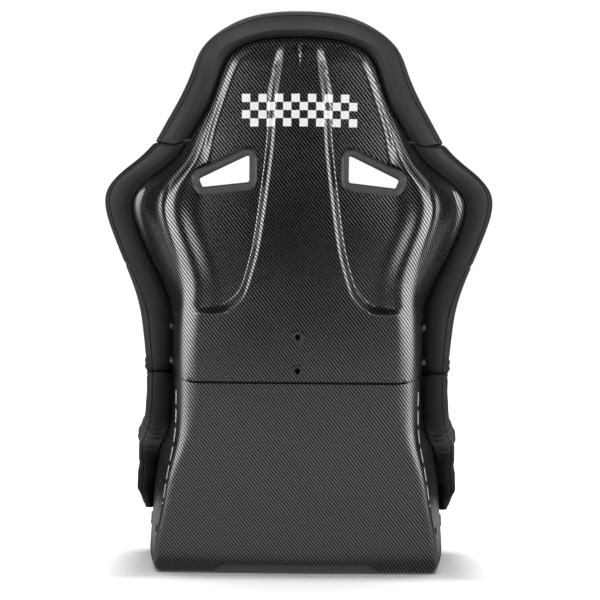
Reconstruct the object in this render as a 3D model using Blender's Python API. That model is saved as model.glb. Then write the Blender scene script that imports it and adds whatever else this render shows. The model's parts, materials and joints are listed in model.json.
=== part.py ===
"""A two-piece bucket racing seat, modelled in metres with +Z up and the occupant facing -Y.

Left is the occupant's left, at +X. The origin is the middle of the box that holds the seat, at floor
height. The backrest is lofted from ribs that fan out from its centre line to the rim. A point on a rib has a
distance s along the rib, seen from behind, and a depth d forward of the leaning rear face.
"""

import math

import bmesh
import bpy
import numpy as np
from mathutils import Matrix, Vector
from mathutils.bvhtree import BVHTree

MM = 0.001

# ---------------------------------------------------------------- driving dimensions, in metres
WALL = 0.005  # laminate thickness of both shells
GAP = 0.0005  # between a pad and the laminate it lies on
SEAM_GAP = 0.001  # between neighbouring pads
SPLIT_Z = 0.308  # lower edge of the backrest shell at the rear centre
SPLIT_GAP = 0.004  # open joint between the two shells
SPLIT_RISE = 0.0095  # how far the joint climbs as it turns the rear corner
CORNER_DEPTH = 0.040  # depth of that corner
PAD_DEPTH = 0.036  # front face of the back pad, forward of the rear face
ROLL_FRONT = 0.056  # how far a bolster stands forward of the shell's rim
ROLL_BACK = 0.014  # how far the edge roll stands behind the rim
ROLL_INNER = 0.044  # how far the roll reaches inward of the shell's outer face
HEAD_FRONT = 0.050  # the same three for the head pad
HEAD_INNER = 0.034
SEAM_STEP = 0.03  # half the gap at the head seam, in rib numbers

NOTCH_HALF = 0.116  # half width of the channel under the base
NOTCH_SLOPE = 0.012
NOTCH_HEIGHT = 0.0134
BASE_FRONT = -0.301  # front wall of the base shell at its lip

BOLT_DEPTH = 0.074  # joint bolts, forward of the rear face
BOLT_HEIGHTS = (0.340, 0.395)
REAR_INSERT_HEIGHTS = (0.325, 0.378)
RAIL_X = 0.165  # mounting rails under the pan
INSERT_YS = (-0.215, 0.050)  # bottom and side mounting inserts, fore and aft
SIDE_INSERT_Z = 0.062
PLATE_Z = 0.3675  # joint plates: middle height, length, width, thickness
PLATE_SIZE = (0.130, 0.034, 0.003)

# The rear face leans back: height and y of its centre line.
REAR_LINE = (
    (0.00, 0.0835),
    (0.10, 0.1075),
    (0.20, 0.1345),
    (0.31, 0.1655),
    (0.45, 0.2065),
    (0.60, 0.2485),
    (0.72, 0.2795),
    (0.88, 0.3175),
)

# Ribs of the backrest, bottom to top, in millimetres and degrees: height on the centre line, shell rim x and
# z, outer edge of the upholstery x and z, angle the shell turns through at its corner, the corner's radius,
# straight wing.
RIBS = (
    (308, 202, 308, 244, 311, 84, 38, 95),
    (360, 202, 362, 247, 362, 84, 38, 95),
    (410, 203, 420, 253, 418, 82, 40, 90),
    (455, 219, 467, 268, 474, 72, 48, 82),
    (502, 246, 524, 287, 524, 62, 55, 72),
    (546, 262, 581, 303, 583, 54, 58, 62),
    (588, 238, 619, 283, 624, 50, 52, 44),
    (628, 193, 652, 234, 663, 50, 34, 26),
    (668, 162, 695, 206, 701, 56, 20, 14),
    (706, 138, 733, 182, 741, 64, 13, 9),
    (740, 122, 775, 164, 781, 66, 12, 8),
    (763, 102, 810, 139, 826, 66, 12, 8),
    (780, 60, 828, 77, 861, 66, 12, 8),
    (788, 0, 833, 0, 870, 66, 12, 8),
)
TOP = len(RIBS) - 1.0
HEAD_SEAM = 7.75  # rib where the head pad meets the shoulder bolsters

# Edge of the raised spine, x and z in millimetres, from the head down and out to the waist's corner.
SPINE_EDGE = (
    (27, 792),
    (34, 745),
    (38, 690),
    (44, 630),
    (57, 535),
    (66, 492),
    (78, 452),
    (92, 430),
    (110, 417),
    (132, 413),
    (190, 412),
)
POCKET_DEPTH = 0.010

# Harness slot, x and z in millimetres.
SLOT = ((76, 658), (76, 615), (148, 607), (154, 621))
SLOT_CORNER = 0.003
BEZEL_WIDTH = 0.0125

# Rows of the centre back panel and of the side bolsters, in rib numbers.
PAD_ROWS = (0.0, 0.1, 0.5, 1, 1.5, 2, 2.5, 3, 3.5, 4, 4.5, 5, 5.5, 6, 6.5, 7, 7.6)
# The seam between the centre back panel and the side bolsters: rib number and distance along the rib.
PAD_SEAM = (
    (0, 0.118),
    (2, 0.118),
    (4, 0.140),
    (5.2, 0.162),
    (6.0, 0.172),
    (6.6, 0.171),
    (7, 0.158),
    (7.75, 0.132),
)

# ---------------------------------------------------------------- the base
BASE_TOP = SPLIT_Z - SPLIT_GAP
# Height, half width where the rear corner ends, half width at the front, radius of the rear corner, in mm.
BASE_WIDTHS = (
    (0, 229, 250, 14),
    (40, 226, 249, 14),
    (110, 213, 246, 16),
    (160, 205, 240, 20),
    (190, 199, 235, 24),
    (220, 194, 229, 30),
    (260, 192, 222, 36),
    (325, 192, 216, 38),
)
# The rim of the base's side, from the hip down and forward to the front corner: y and z in millimetres.
BASE_RIM = (
    (37, 313),
    (28, 286),
    (13, 260),
    (-11, 238),
    (-54, 219),
    (-106, 208),
    (-160, 200),
    (-208, 189),
    (-243, 165),
    (-262, 130),
    (-269, 98),
    (-270, 68),
)
FRONT_LIP = 0.066
FRONT_RADIUS = 0.030
BOTTOM_ROUND = 0.024
PAN = 0.022  # height of the tub's floor
# How far down inside the tub a thigh bolster reaches, against the station on the rim.
THIGH_FEET = (
    (0, 0.078),
    (2, 0.085),
    (3.5, 0.100),
    (5, 0.088),
    (7, 0.070),
    (9, 0.040),
    (10.8, 0.026),
)
THIGH_START = -0.1  # stations where a thigh bolster starts and ends
THIGH_END = len(BASE_RIM) - 1.25

# The seat cushion's y against its half width, in millimetres, and the height of its top against y, in metres.
CUSHION_PLAN = (
    (79, 128),
    (67, 138),
    (15, 142),
    (-50, 157),
    (-120, 171),
    (-190, 181),
    (-232, 184),
    (-262, 184),
    (-280, 184),
)
CUSHION_NOSE = ((-296, 184), (-308, 182), (-317, 178))
CUSHION_LOW = 0.060
HIP_PAD = (0.150, 0.168, 0.3095)  # half width, lower and upper border
LUMBAR_PAD = (0.100, 0.348, 0.462)
LUMBAR_THICKNESS = 0.0185
LUMBAR_CROWN = 0.008
CUSHION_TOPS = (
    (-0.337, 0.150),
    (-0.275, 0.176),
    (-0.19, 0.172),
    (-0.05, 0.152),
    (0.087, 0.150),
)

# Closed profiles of the turned parts: radius and height over the surface.
BOLT = ((0, 0.0055), (0.0030, 0.0054), (0.0058, 0.0042), (0.0070, 0.0018), (0.0070, 0.0003))
BOLT += ((0.0037, 0.0003), (0.0037, -0.0118), (0, -0.0118))
WASHER = ((0.0041, 0.0006), (0.0092, 0.0006), (0.0092, 0.0020), (0.0041, 0.0020))
REAR_INSERT = ((0.0042, 0.0004), (0.0055, 0.0018), (0.0098, 0.0018), (0.0104, 0.0003))
REAR_INSERT += ((0.0062, 0.0003), (0.0062, -0.0070), (0.0042, -0.0070))
FOOT_INSERT = ((0.0042, 0.0004), (0.0078, 0.0004), (0.0078, 0.0170), (0.0042, 0.0170))
SIDE_INSERT = ((0.0042, 0.0018), (0.0110, 0.0018), (0.0110, 0.0003))
SIDE_INSERT += ((0.0068, 0.0003), (0.0068, -0.0140), (0.0042, -0.0140))
# Closed profiles of the slot frames: distance out from the slot and height over the surface.
REAR_FRAME = (
    (BEZEL_WIDTH, 0.0010),
    (BEZEL_WIDTH - 0.0008, 0.0034),
    (0.0075, 0.0058),
    (0.0018, 0.0054),
    (0.0, 0.0036),
    (0.0, -0.0085),
    (0.0022, -0.0085),
    (0.0022, 0.0010),
)
FRONT_FRAME = (
    (0.008, 0.0007),
    (0.0074, 0.0026),
    (0.0010, 0.0032),
    (0.0, 0.0016),
    (0.0, -0.012),
    (0.0020, -0.012),
    (0.0020, 0.0007),
)

SIDES = (("left", 1), ("right", -1))

MATERIALS = {
    "carbon": ((0.030, 0.031, 0.034), 0.28, 0.0),
    "leather": ((0.040, 0.041, 0.044), 0.48, 0.0),
    "fabric": ((0.018, 0.018, 0.020), 0.90, 0.0),
    "plastic": ((0.036, 0.037, 0.041), 0.55, 0.0),
    "steel": ((0.055, 0.056, 0.060), 0.45, 0.8),
    "zinc": ((0.450, 0.450, 0.460), 0.35, 1.0),
    "board": ((0.230, 0.150, 0.080), 0.80, 0.0),
    "hook_tape": ((0.012, 0.012, 0.013), 0.95, 0.0),
}


# ---------------------------------------------------------------- curves
def spline(ts, values):
    """Natural cubic spline through values at ts, as a function. Values may be numbers or points."""
    ts = np.asarray(ts, float)
    values = np.asarray(values, float).reshape(len(ts), -1)
    h = np.diff(ts)
    n = len(ts)
    system = np.eye(n)
    right = np.zeros_like(values)
    for i in range(1, n - 1):
        system[i, i - 1 : i + 2] = (h[i - 1], 2 * (h[i - 1] + h[i]), h[i])
        right[i] = 6 * ((values[i + 1] - values[i]) / h[i] - (values[i] - values[i - 1]) / h[i - 1])
    bend = np.linalg.solve(system, right)

    def at(t):
        i = int(np.clip(np.searchsorted(ts, t) - 1, 0, n - 2))
        a = (ts[i + 1] - t) / h[i]
        b = 1 - a
        curve = a * values[i] + b * values[i + 1]
        curve = curve + ((a**3 - a) * bend[i] + (b**3 - b) * bend[i + 1]) * h[i] ** 2 / 6
        return curve if len(curve) > 1 else float(curve[0])

    return at


def mirrored_ribs():
    """The ribs up one side and down the other, so that the spline through them is symmetric."""
    up = np.array(RIBS, float)
    down = up[-2::-1].copy()
    down[:, 1] *= -1
    down[:, 3] *= -1
    return np.vstack([up, down])


rear_y = spline(*zip(*REAR_LINE))
rib_at = spline(range(2 * len(RIBS) - 1), mirrored_ribs())
spine_at = spline(range(len(SPINE_EDGE)), np.array(SPINE_EDGE) * MM)
SPINE_LINE = np.array([spine_at(t) for t in np.linspace(0, len(SPINE_EDGE) - 1, 61)])


def face_y(x, z, depth):
    """The y at a depth forward of the leaning rear face, which bows forward towards its sides."""
    return rear_y(z) - depth - 0.30 * x**2 * (1 - smooth(abs(x) / 0.6))


def smooth(x):
    """0 below 0, 1 above 1, and an S-curve between."""
    x = min(1.0, max(0.0, x))
    return x * x * (3 - 2 * x)


def steps(low, high, count):
    """Evenly spaced values from low to high, both included."""
    return [low + (high - low) * i / count for i in range(count + 1)]


# ---------------------------------------------------------------- the backrest shell's surface
class Rib:
    """One rib of the backrest: its place, and the section that the shell follows along it."""

    def __init__(self, t):
        zc, rx, rz, px, pz, turn, radius, wing = rib_at(t)
        self.t = t
        self.centre = Vector((0, 0, zc * MM))
        self.rim = Vector((rx * MM, 0, rz * MM))
        self.edge = Vector((px * MM, 0, pz * MM))
        self.turn = math.radians(turn)
        self.radius = radius * MM
        self.wing = wing * MM
        self.length = (self.rim - self.centre).length
        self.side = (self.rim - self.centre) / self.length
        self.roll = (self.edge - self.rim).length
        self.roll_side = (self.edge - self.rim) / self.roll
        self.flat = self.length - self.radius * math.sin(self.turn) - self.wing * math.cos(self.turn)
        self.arc = self.radius * self.turn
        self.total = self.flat + self.arc + self.wing
        self.depth = self.radius * (1 - math.cos(self.turn)) + self.wing * math.sin(self.turn)

    def section(self, u):
        """(s, d, angle) at the distance u along the shell's section."""
        if u <= self.flat:
            return u, 0.0, 0.0
        if u <= self.flat + self.arc:
            angle = (u - self.flat) / self.radius
            return self.flat + self.radius * math.sin(angle), self.radius * (1 - math.cos(angle)), angle
        rest = u - self.flat - self.arc
        s = self.flat + self.radius * math.sin(self.turn) + rest * math.cos(self.turn)
        d = self.radius * (1 - math.cos(self.turn)) + rest * math.sin(self.turn)
        return s, d, self.turn

    def place(self, s, d):
        """The point at distance s along the rib and depth d."""
        if s <= self.length:
            p = self.centre + self.side * s
        else:
            p = self.rim + self.roll_side * (s - self.length)
        foot = 1 - smooth(self.t / 3)
        z = p.z + foot * SPLIT_RISE * smooth(d / CORNER_DEPTH)
        return Vector((p.x, face_y(p.x, z, d), z))


def spine_distance(x, z):
    """Distance from the edge of the raised spine, positive on the pocket's side."""
    a, b = SPINE_LINE[:-1], SPINE_LINE[1:]
    p = np.array((x, z))
    along = b - a
    t = np.clip(((p - a) * along).sum(1) / (along**2).sum(1), 0, 1)
    away = p - (a + along * t[:, None])
    distance = np.hypot(*away.T)
    i = int(distance.argmin())
    outside = along[i, 0] * away[i, 1] - along[i, 1] * away[i, 0]
    return math.copysign(distance[i], outside)


def pocket(rib, u, x, z):
    """How deep the moulded pocket beside the spine is at this point."""
    inner = smooth((spine_distance(abs(x), z) + 0.001) / 0.012)
    fade = 0.010 + 0.018 * (1 - smooth((rib.t - 6) / 2.5))
    outer = smooth((rib.flat - 0.003 - u) / fade + 0.5)
    top = 0.6 + 0.4 * smooth((0.80 - z) / 0.12)
    return POCKET_DEPTH * top * inner * outer


def shell_point(rib, u, inward=0.0):
    """A point on the backrest shell, the distance inward into its wall."""
    s, d, angle = rib.section(u)
    flat = rib.place(s, d)
    d += inward * math.cos(angle) + pocket(rib, u, flat.x, flat.z)
    return rib.place(s - inward * math.sin(angle), d)


# ---------------------------------------------------------------- mesh helpers
def material(name):
    """The named finish, made once."""
    found = bpy.data.materials.get(name)
    if found:
        return found
    colour, roughness, metallic = MATERIALS[name]
    made = bpy.data.materials.new(name)
    made.use_nodes = True
    shader = made.node_tree.nodes["Principled BSDF"]
    shader.inputs["Base Color"].default_value = (*colour, 1)
    shader.inputs["Roughness"].default_value = roughness
    shader.inputs["Metallic"].default_value = metallic
    return made


def add(name, bm, finish, parent=None, sharp=35):
    """Turns a bmesh into a named, smooth-shaded object, with its faces pointing out.

    A half that a mirror completes is open only at x = 0, which adds nothing to the signed volume.
    """
    bmesh.ops.recalc_face_normals(bm, faces=bm.faces)
    if bm.calc_volume(signed=True) < 0:
        bmesh.ops.reverse_faces(bm, faces=bm.faces)
    mesh = bpy.data.meshes.new(name)
    bm.to_mesh(mesh)
    bm.free()
    mesh.shade_smooth()
    mesh.set_sharp_from_angle(angle=math.radians(sharp))
    mesh.materials.append(material(finish))
    made = bpy.data.objects.new(name, mesh)
    made.parent = parent
    bpy.context.scene.collection.objects.link(made)
    return made


def group(name):
    """An empty that carries the pieces of one body."""
    made = bpy.data.objects.new(name, None)
    bpy.context.scene.collection.objects.link(made)
    return made


def mirror_modifier(obj):
    """Completes a left half across x = 0."""
    made = obj.modifiers.new("Mirror", "MIRROR")
    made.use_axis = (True, False, False)
    made.use_clip = True
    made.merge_threshold = 0.0001


def cut(obj, cutter):
    """Takes a hidden cutter's volume out of an object."""
    made = obj.modifiers.new("Cut", "BOOLEAN")
    made.operation = "DIFFERENCE"
    made.object = cutter
    cutter.hide_render = True
    cutter.display_type = "WIRE"


def grid(bm, rows, closed=False):
    """Quads between rows of points, and their vertices. A closed row joins its last point to its first."""
    verts = [[bm.verts.new(p) for p in row] for row in rows]
    width = len(rows[0])
    for low, high in zip(verts, verts[1:]):
        for j in range(width if closed else width - 1):
            k = (j + 1) % width
            bm.faces.new((low[j], low[k], high[k], high[j]))
    return verts


def flipped(rows):
    """The same rows on the other side of the seat."""
    return [[Vector((-p.x, p.y, p.z)) for p in row] for row in rows]


def cylinder(bm, radius, low, high, segments=24, top_radius=None):
    """A cylinder along Z between two heights."""
    made = bmesh.ops.create_cone(
        bm,
        cap_ends=True,
        segments=segments,
        radius1=radius,
        radius2=radius if top_radius is None else top_radius,
        depth=high - low,
        matrix=Matrix.Translation((0, 0, (low + high) / 2)),
    )
    return made["verts"]


def turned(profile, segments=24):
    """A ring turned about Z from a closed profile of (radius, height) points."""
    bm = bmesh.new()
    rows = []
    for i in range(segments):
        a = math.tau * i / segments
        rows.append([Vector((r * math.cos(a), r * math.sin(a), z)) for r, z in profile])
    rows.append(rows[0])
    grid(bm, rows, closed=True)
    bmesh.ops.remove_doubles(bm, verts=bm.verts, dist=1e-6)
    return bm


def aimed(origin, direction):
    """A matrix that puts local Z along a direction at an origin."""
    turn = Vector(direction).normalized().to_track_quat("Z", "Y").to_matrix().to_4x4()
    return Matrix.Translation(origin) @ turn


def box(name, low, high, finish, parent=None, bevel=0.0):
    """A block between two corners, with its edges eased."""
    bm = bmesh.new()
    bmesh.ops.create_cube(bm, size=1)
    for v in bm.verts:
        v.co = Vector(low[k] + (v.co[k] + 0.5) * (high[k] - low[k]) for k in range(3))
    if bevel:
        bmesh.ops.bevel(bm, geom=bm.edges, offset=bevel, segments=2, profile=0.6, affect="EDGES")
    return add(name, bm, finish, parent)


def clear_scene():
    """Takes out everything that is there at the start."""
    for obj in list(bpy.data.objects):
        bpy.data.objects.remove(obj)


def probe(tree, origin, direction):
    """Where a ray first meets a surface, and that surface's normal turned towards the ray's start."""
    direction = Vector(direction).normalized()
    place, normal, _, _ = tree.ray_cast(Vector(origin), direction)
    return place, (normal if normal.dot(direction) < 0 else -normal)


def tree_of(obj):
    """An object's mesh as a tree for rays."""
    bm = bmesh.new()
    bm.from_mesh(obj.data)
    made = BVHTree.FromBMesh(bm)
    bm.free()
    return made


def slab(name, fronts, backs, finish, parent=None, open_ends=()):
    """A solid between two sheets of points that match row by row. open_ends are left for a mirror."""
    bm = bmesh.new()
    front = grid(bm, fronts)
    back = grid(bm, backs)
    borders = {
        "first": (front[0], back[0]),
        "last": (front[-1], back[-1]),
        "inner": ([row[0] for row in front], [row[0] for row in back]),
        "outer": ([row[-1] for row in front], [row[-1] for row in back]),
    }
    for side, (a, b) in borders.items():
        if side in open_ends:
            continue
        for i in range(len(a) - 1):
            bm.faces.new((a[i], a[i + 1], b[i + 1], b[i]))
    return add(name, bm, finish, parent)


# ---------------------------------------------------------------- the backrest shell
def dent(rib, u):
    """Depth of the shallow scoop in the side wing."""
    along = smooth((rib.t - 2.9) / 1.6) * smooth((6.1 - rib.t) / 0.9)
    start = rib.flat + 0.45 * rib.arc
    across = smooth((u - start) / 0.012) * smooth((rib.total - 0.010 - u) / 0.012)
    return 0.004 * along * across


def spine_column(t):
    """Where a rib meets the edge of the raised spine."""
    rib = Rib(max(t, 2.05))
    low, high = 0.0, rib.flat
    for _ in range(30):
        mid = (low + high) / 2
        p = rib.place(mid, 0)
        if spine_distance(p.x, p.z) < 0:
            low = mid
        else:
            high = mid
    return min(low, 0.80 * rib.flat)


def shell_columns(rib):
    """Distances along a rib's section where the shell has its columns: they follow the moulded edges."""
    spine = spine_column(rib.t)
    if rib.t > 9:
        spine *= (TOP - rib.t) / (TOP - 9)
        spine += 0.020 * (1 - (TOP - rib.t) / (TOP - 9))
    pocket_end = rib.flat - 0.013
    columns = [0, 0.5 * spine, spine - 0.001, spine + 0.004, spine + 0.008, spine + 0.012]
    span = pocket_end - columns[-1]
    columns += [columns[-1] + span * f for f in (0.35, 0.70, 1.0)]
    columns += [rib.flat - 0.006, rib.flat]
    columns += steps(rib.flat, rib.flat + rib.arc, 4)[1:]
    columns += steps(rib.flat + rib.arc, rib.total, 3)[1:]
    return columns


def shell_rows():
    """Rib numbers of the shell's rows, closer where the spine spreads out above the waist."""
    low = [0, 0.5, 1.0, 1.5, 1.8, 1.95, 2.1, 2.3, 2.5, 2.75, 3.0, 3.5]
    return low + steps(4.0, TOP, 18)


def shell_sheet(inward):
    """The shell's rows of points, the distance inward into its wall."""
    rows = []
    for t in shell_rows():
        rib = Rib(t)
        rows.append([shell_point(rib, u, inward + dent(rib, u)) for u in shell_columns(rib)])
    return rows


# ---------------------------------------------------------------- pads on the backrest
seam_line = spline(*zip(*PAD_SEAM))


def lining(rib, u):
    """How far the back of a pad stays from the shell's outer face: wall, pocket, scoop and joint plate."""
    clear = WALL + GAP + POCKET_DEPTH * smooth((rib.flat + 0.016 - u) / 0.012)
    wing = smooth((u - rib.flat - 0.2 * rib.arc) / 0.02)
    clear += 0.0050 * wing * smooth((rib.t - 2.6) / 0.8) * smooth((6.9 - rib.t) / 0.8)
    clear += 0.0100 * wing * smooth((2.9 - rib.t) / 0.5)
    return clear


def roll_path(width, front, tangent, normal, inner):
    """Control points of an edge roll about a rim at (0, 0), from the inner face to the rear lip.

    Coordinates are (outward, forward). tangent runs along the wall towards its rim, normal points inward.
    """
    t, n = Vector(tangent), Vector(normal)
    return [
        n * inner - t * 0.012,
        Vector((-0.42 * width - 0.30 * inner, 0.62 * front)),
        Vector((-0.20 * width, 0.97 * front)),
        Vector((0.38 * width, 0.94 * front)),
        Vector((0.86 * width, 0.56 * front)),
        Vector((width, 0.13 * front)),
        Vector((0.90 * width, -0.55 * ROLL_BACK)),
        Vector((0.50 * width, -ROLL_BACK)),
        Vector((0.13 * width, -0.66 * ROLL_BACK)),
        -n * 0.0032 - t * 0.0046,
    ]


def rim_path(tangent, normal, wall):
    """The matching points close round the wall's rim, with clearance."""
    t, n = Vector(tangent), Vector(normal)
    tip = t * 0.0020
    inner = n * (wall + 0.0012)
    outer = -n * 0.0018
    path = [inner - t * 0.004, inner + tip]
    path += [inner.lerp(outer, f) + tip for f in (0.25, 0.5, 0.75, 1.0)]
    path += [outer + t * (0.0002 - 0.001 * k) for k in range(5)]
    return path


def bolster_section(rib):
    """Front and back curves of a side bolster, in (s, d) of the rib."""
    seam = seam_line(rib.t) + SEAM_GAP / 2
    rim = Vector((rib.length, rib.depth))
    tangent = (math.cos(rib.turn), math.sin(rib.turn))
    normal = (-math.sin(rib.turn), math.cos(rib.turn))
    lining_at_rim = lining(rib, rib.total)
    backs = []
    base = max(rib.flat, seam + 0.006)
    bend = rib.flat + rib.arc
    for i, u in enumerate((seam, 0.5 * (seam + base), 0.5 * (base + bend), bend, rib.total - 0.010)):
        s, d, angle = rib.section(u)
        clear = lining(rib, u)
        inside = max(s - clear * math.sin(angle), seam + 0.002 * i)
        backs.append(Vector((inside, d + clear * math.cos(angle))))
    backs += [rim + p for p in rim_path(tangent, normal, lining_at_rim)]
    roll = [rim + p for p in roll_path(rib.roll, ROLL_FRONT, tangent, normal, ROLL_INNER)]
    start = Vector((seam, PAD_DEPTH - 0.004))
    lift = Vector((seam + 0.008, PAD_DEPTH + 0.003))
    rise = lift.lerp(roll[0], 0.45) + Vector((0.006, -0.006))
    controls = [start, lift, rise] + roll
    curve = spline(range(len(controls)), [tuple(p) for p in controls])
    places = [0, 1, 2, 3, 3.5, 4, 4.5, 5, 5.5, 6, 6.5, 7, 8, 9, 10, 11]
    places = [p * (len(controls) - 1) / 11 if p > 10 else p for p in places]
    fronts = [Vector(curve(p)) for p in places]
    return fronts, backs


def matched(tangent, normal, wall, rim, width, front, inner, foot):
    """Front and back curves of a roll on a straight wall, ending in a foot of the given depth."""
    t, n = Vector(tangent), Vector(normal)
    backs = [n * (wall + 0.0030) - t * foot * f for f in (1.0, 0.75, 0.5, 0.25)]
    backs += rim_path(tangent, normal, wall)
    roll = roll_path(width, front, tangent, normal, inner)
    controls = [n * (wall + 0.0040) - t * (foot + 0.006), n * (0.75 * inner) - t * (foot + 0.004)]
    controls += [n * (inner + 0.001) - t * (foot * 0.72)] + roll
    curve = spline(range(len(controls)), [tuple(p) for p in controls])
    last = len(controls) - 1
    places = [0, 1, 2, 3, 4, 4.5, 5, 5.5, 6, 7, 8, 9, 10, 11, last]
    return [Vector(curve(p)) for p in places], [rim + p for p in backs]


def seam_drop(s, length):
    """The head seam drops where it crosses the edge roll: the change in rib number."""
    return -0.40 * smooth((s / length - 0.90) / 0.20)


def shifted_row(section, t, share):
    """A row of pad points on rib t, moved along the ribs by a share of the seam's drop towards the rim."""
    rib = Rib(t)
    row = ([], [])
    for i, matching in enumerate(zip(*section(rib))):
        for side in (0, 1):
            other = Rib(t + share * seam_drop(matching[side].x, rib.length))
            row[side].append(other.place(*section(other)[side][i]))
    return row


def head_section(rib):
    """Front and back curves of the head pad, from the centre line, in (s, d) of the rib."""
    rim = Vector((rib.length, rib.depth))
    tangent = (math.cos(rib.turn), math.sin(rib.turn))
    normal = (-math.sin(rib.turn), math.cos(rib.turn))
    far = max(rib.flat, 0.018)
    backs = []
    for u in (0, 0.35 * far, 0.7 * far, far, rib.total - 0.007):
        s, d, angle = rib.section(u)
        clear = lining(rib, u)
        backs.append(Vector((s - clear * math.sin(angle), d + clear * math.cos(angle))))
    backs += [rim + p for p in rim_path(tangent, normal, lining(rib, rib.total))]
    roll = [rim + p for p in roll_path(rib.roll, HEAD_FRONT, tangent, normal, HEAD_INNER)]
    reach = roll[0].x
    flat = PAD_DEPTH + 0.004
    controls = [Vector((0, flat)), Vector((0.36 * reach, flat)), Vector((0.74 * reach, flat + 0.001))]
    controls += roll
    curve = spline(range(len(controls)), [tuple(p) for p in controls])
    last = len(controls) - 1
    places = [0, 1, 2, 3, 3.5, 4, 4.5, 5, 5.5, 6, 6.5, 7, 8, 9, 10, 11]
    places = [p * last / 11 if p > 10 else p for p in places]
    fronts = [Vector(curve(p)) for p in places]
    fronts[0].x = 0
    return fronts, backs


def back_pad_rows():
    """The centre back panel's sheets, from the lower edge up to the head seam."""
    last = HEAD_SEAM - SEAM_STEP
    front_rows, back_rows = [], []
    for t in PAD_ROWS + (last,):
        rib = Rib(t)
        seam = seam_line(t) - SEAM_GAP / 2
        edge = t in (PAD_ROWS[0], last)
        places = [f * seam for f in (0, 0.25, 0.5, 0.75, 0.97, 1)]
        front_rows.append([rib.place(s, PAD_DEPTH - (0.004 if edge or s == seam else 0)) for s in places])
        back_rows.append([rib.place(s, WALL + POCKET_DEPTH + GAP) for s in places])
    return front_rows, back_rows


def back_pads(seat):
    """The side bolsters, the centre back panel and the head pad."""
    bolster = PAD_ROWS[:1] + PAD_ROWS[2:] + (HEAD_SEAM - SEAM_STEP,)
    rows = [shifted_row(bolster_section, t, smooth((t - 5.5) / 2)) for t in bolster]
    fronts, backs = zip(*rows)
    slab("side_bolster_left", fronts, backs, "leather", seat)
    slab("side_bolster_right", flipped(fronts), flipped(backs), "leather", seat)
    fronts, backs = back_pad_rows()
    mirror_modifier(slab("back_pad", fronts, backs, "fabric", seat, ("inner",)))
    head = [HEAD_SEAM + SEAM_STEP] + steps(8.0, TOP, 10)
    rows = [shifted_row(head_section, t, (TOP - t) / (TOP - HEAD_SEAM)) for t in head]
    fronts, backs = zip(*rows)
    mirror_modifier(slab("head_pad", fronts, backs, "leather", seat, ("inner", "last")))


# ---------------------------------------------------------------- the base shell
base_widths = spline([w[0] * MM for w in BASE_WIDTHS], [[v * MM for v in w[1:]] for w in BASE_WIDTHS])
rim_line = spline(range(len(BASE_RIM)), [(y * MM, z * MM) for y, z in BASE_RIM])
RIM_STEPS = steps(0, len(BASE_RIM) - 1, 14)
REAR_XS = (0, 0.055, NOTCH_HALF, NOTCH_HALF + NOTCH_SLOPE)


def front_y(z):
    """The front wall leans out a little over its height."""
    return BASE_FRONT + 0.012 * (1 - smooth(z / 0.1))


def side_ends(z):
    """Where the side wall's outer face leaves the rear corner and meets the front one."""
    rear, front, radius = base_widths(min(z, 0.325))
    start = Vector((rear, face_y(rear, z, radius * (1 - math.cos(math.radians(84)))), z))
    return start, Vector((front, front_y(z) + FRONT_RADIUS, z))


def side_share(y, z):
    """How far along the side wall a place is, from 0 at the rear corner to 1 at the front one."""
    start, end = side_ends(z)
    return (start.y - y) / (start.y - end.y)


SIDE_SHARES = [0.45 * side_share(*rim_line(0))] + [side_share(*rim_line(k)) for k in RIM_STEPS[:-1]]


def base_outline(z, inward=0.0):
    """Half of the base's outline at a height, from the rear centre round to the front centre."""
    rear, front, radius = base_widths(min(z, 0.325))
    low = 1 - min(1, z / BOTTOM_ROUND)
    inset = inward + 0.013 * (1 - math.sqrt(1 - low**2))
    turn = math.radians(84)
    centre = rear - radius * math.sin(turn)
    points = []

    def behind(x, depth):
        return Vector((x, face_y(x, z, depth), z))

    for x in REAR_XS:
        points.append(behind(x, inset))
    for k in range(5):
        a = turn * k / 4
        reach = radius - inset
        points.append(behind(centre + reach * math.sin(a), radius - reach * math.cos(a)))
    start = points[-1].copy()
    nose = front_y(z)
    corner = Vector((front - FRONT_RADIUS, nose + FRONT_RADIUS, z))
    end = Vector((front - inset, nose + FRONT_RADIUS, z))
    for f in SIDE_SHARES:
        bow = 0.004 * math.sin(math.pi * f)
        points.append(start.lerp(end, f) + Vector((bow, 0, 0)))
    for k in range(5):
        a = math.pi / 2 * k / 4
        reach = FRONT_RADIUS - inset
        points.append(corner + Vector((reach * math.cos(a), -reach * math.sin(a), 0)))
    for x in REAR_XS[::-1]:
        points.append(Vector((x, nose + inset, z)))
    return points


def base_rim_heights():
    """Height of the rim at each point of the outline."""
    hip = BASE_TOP + SPLIT_RISE
    heights = [BASE_TOP] * len(REAR_XS)
    heights += [BASE_TOP + SPLIT_RISE * smooth(k / 4) for k in range(5)]
    heights += [hip] + [rim_line(k)[1] for k in RIM_STEPS[:-1]]
    low = rim_line(RIM_STEPS[-1])[1]
    heights += [low + (FRONT_LIP - low) * k / 4 for k in range(5)]
    return heights + [FRONT_LIP] * len(REAR_XS)


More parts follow.
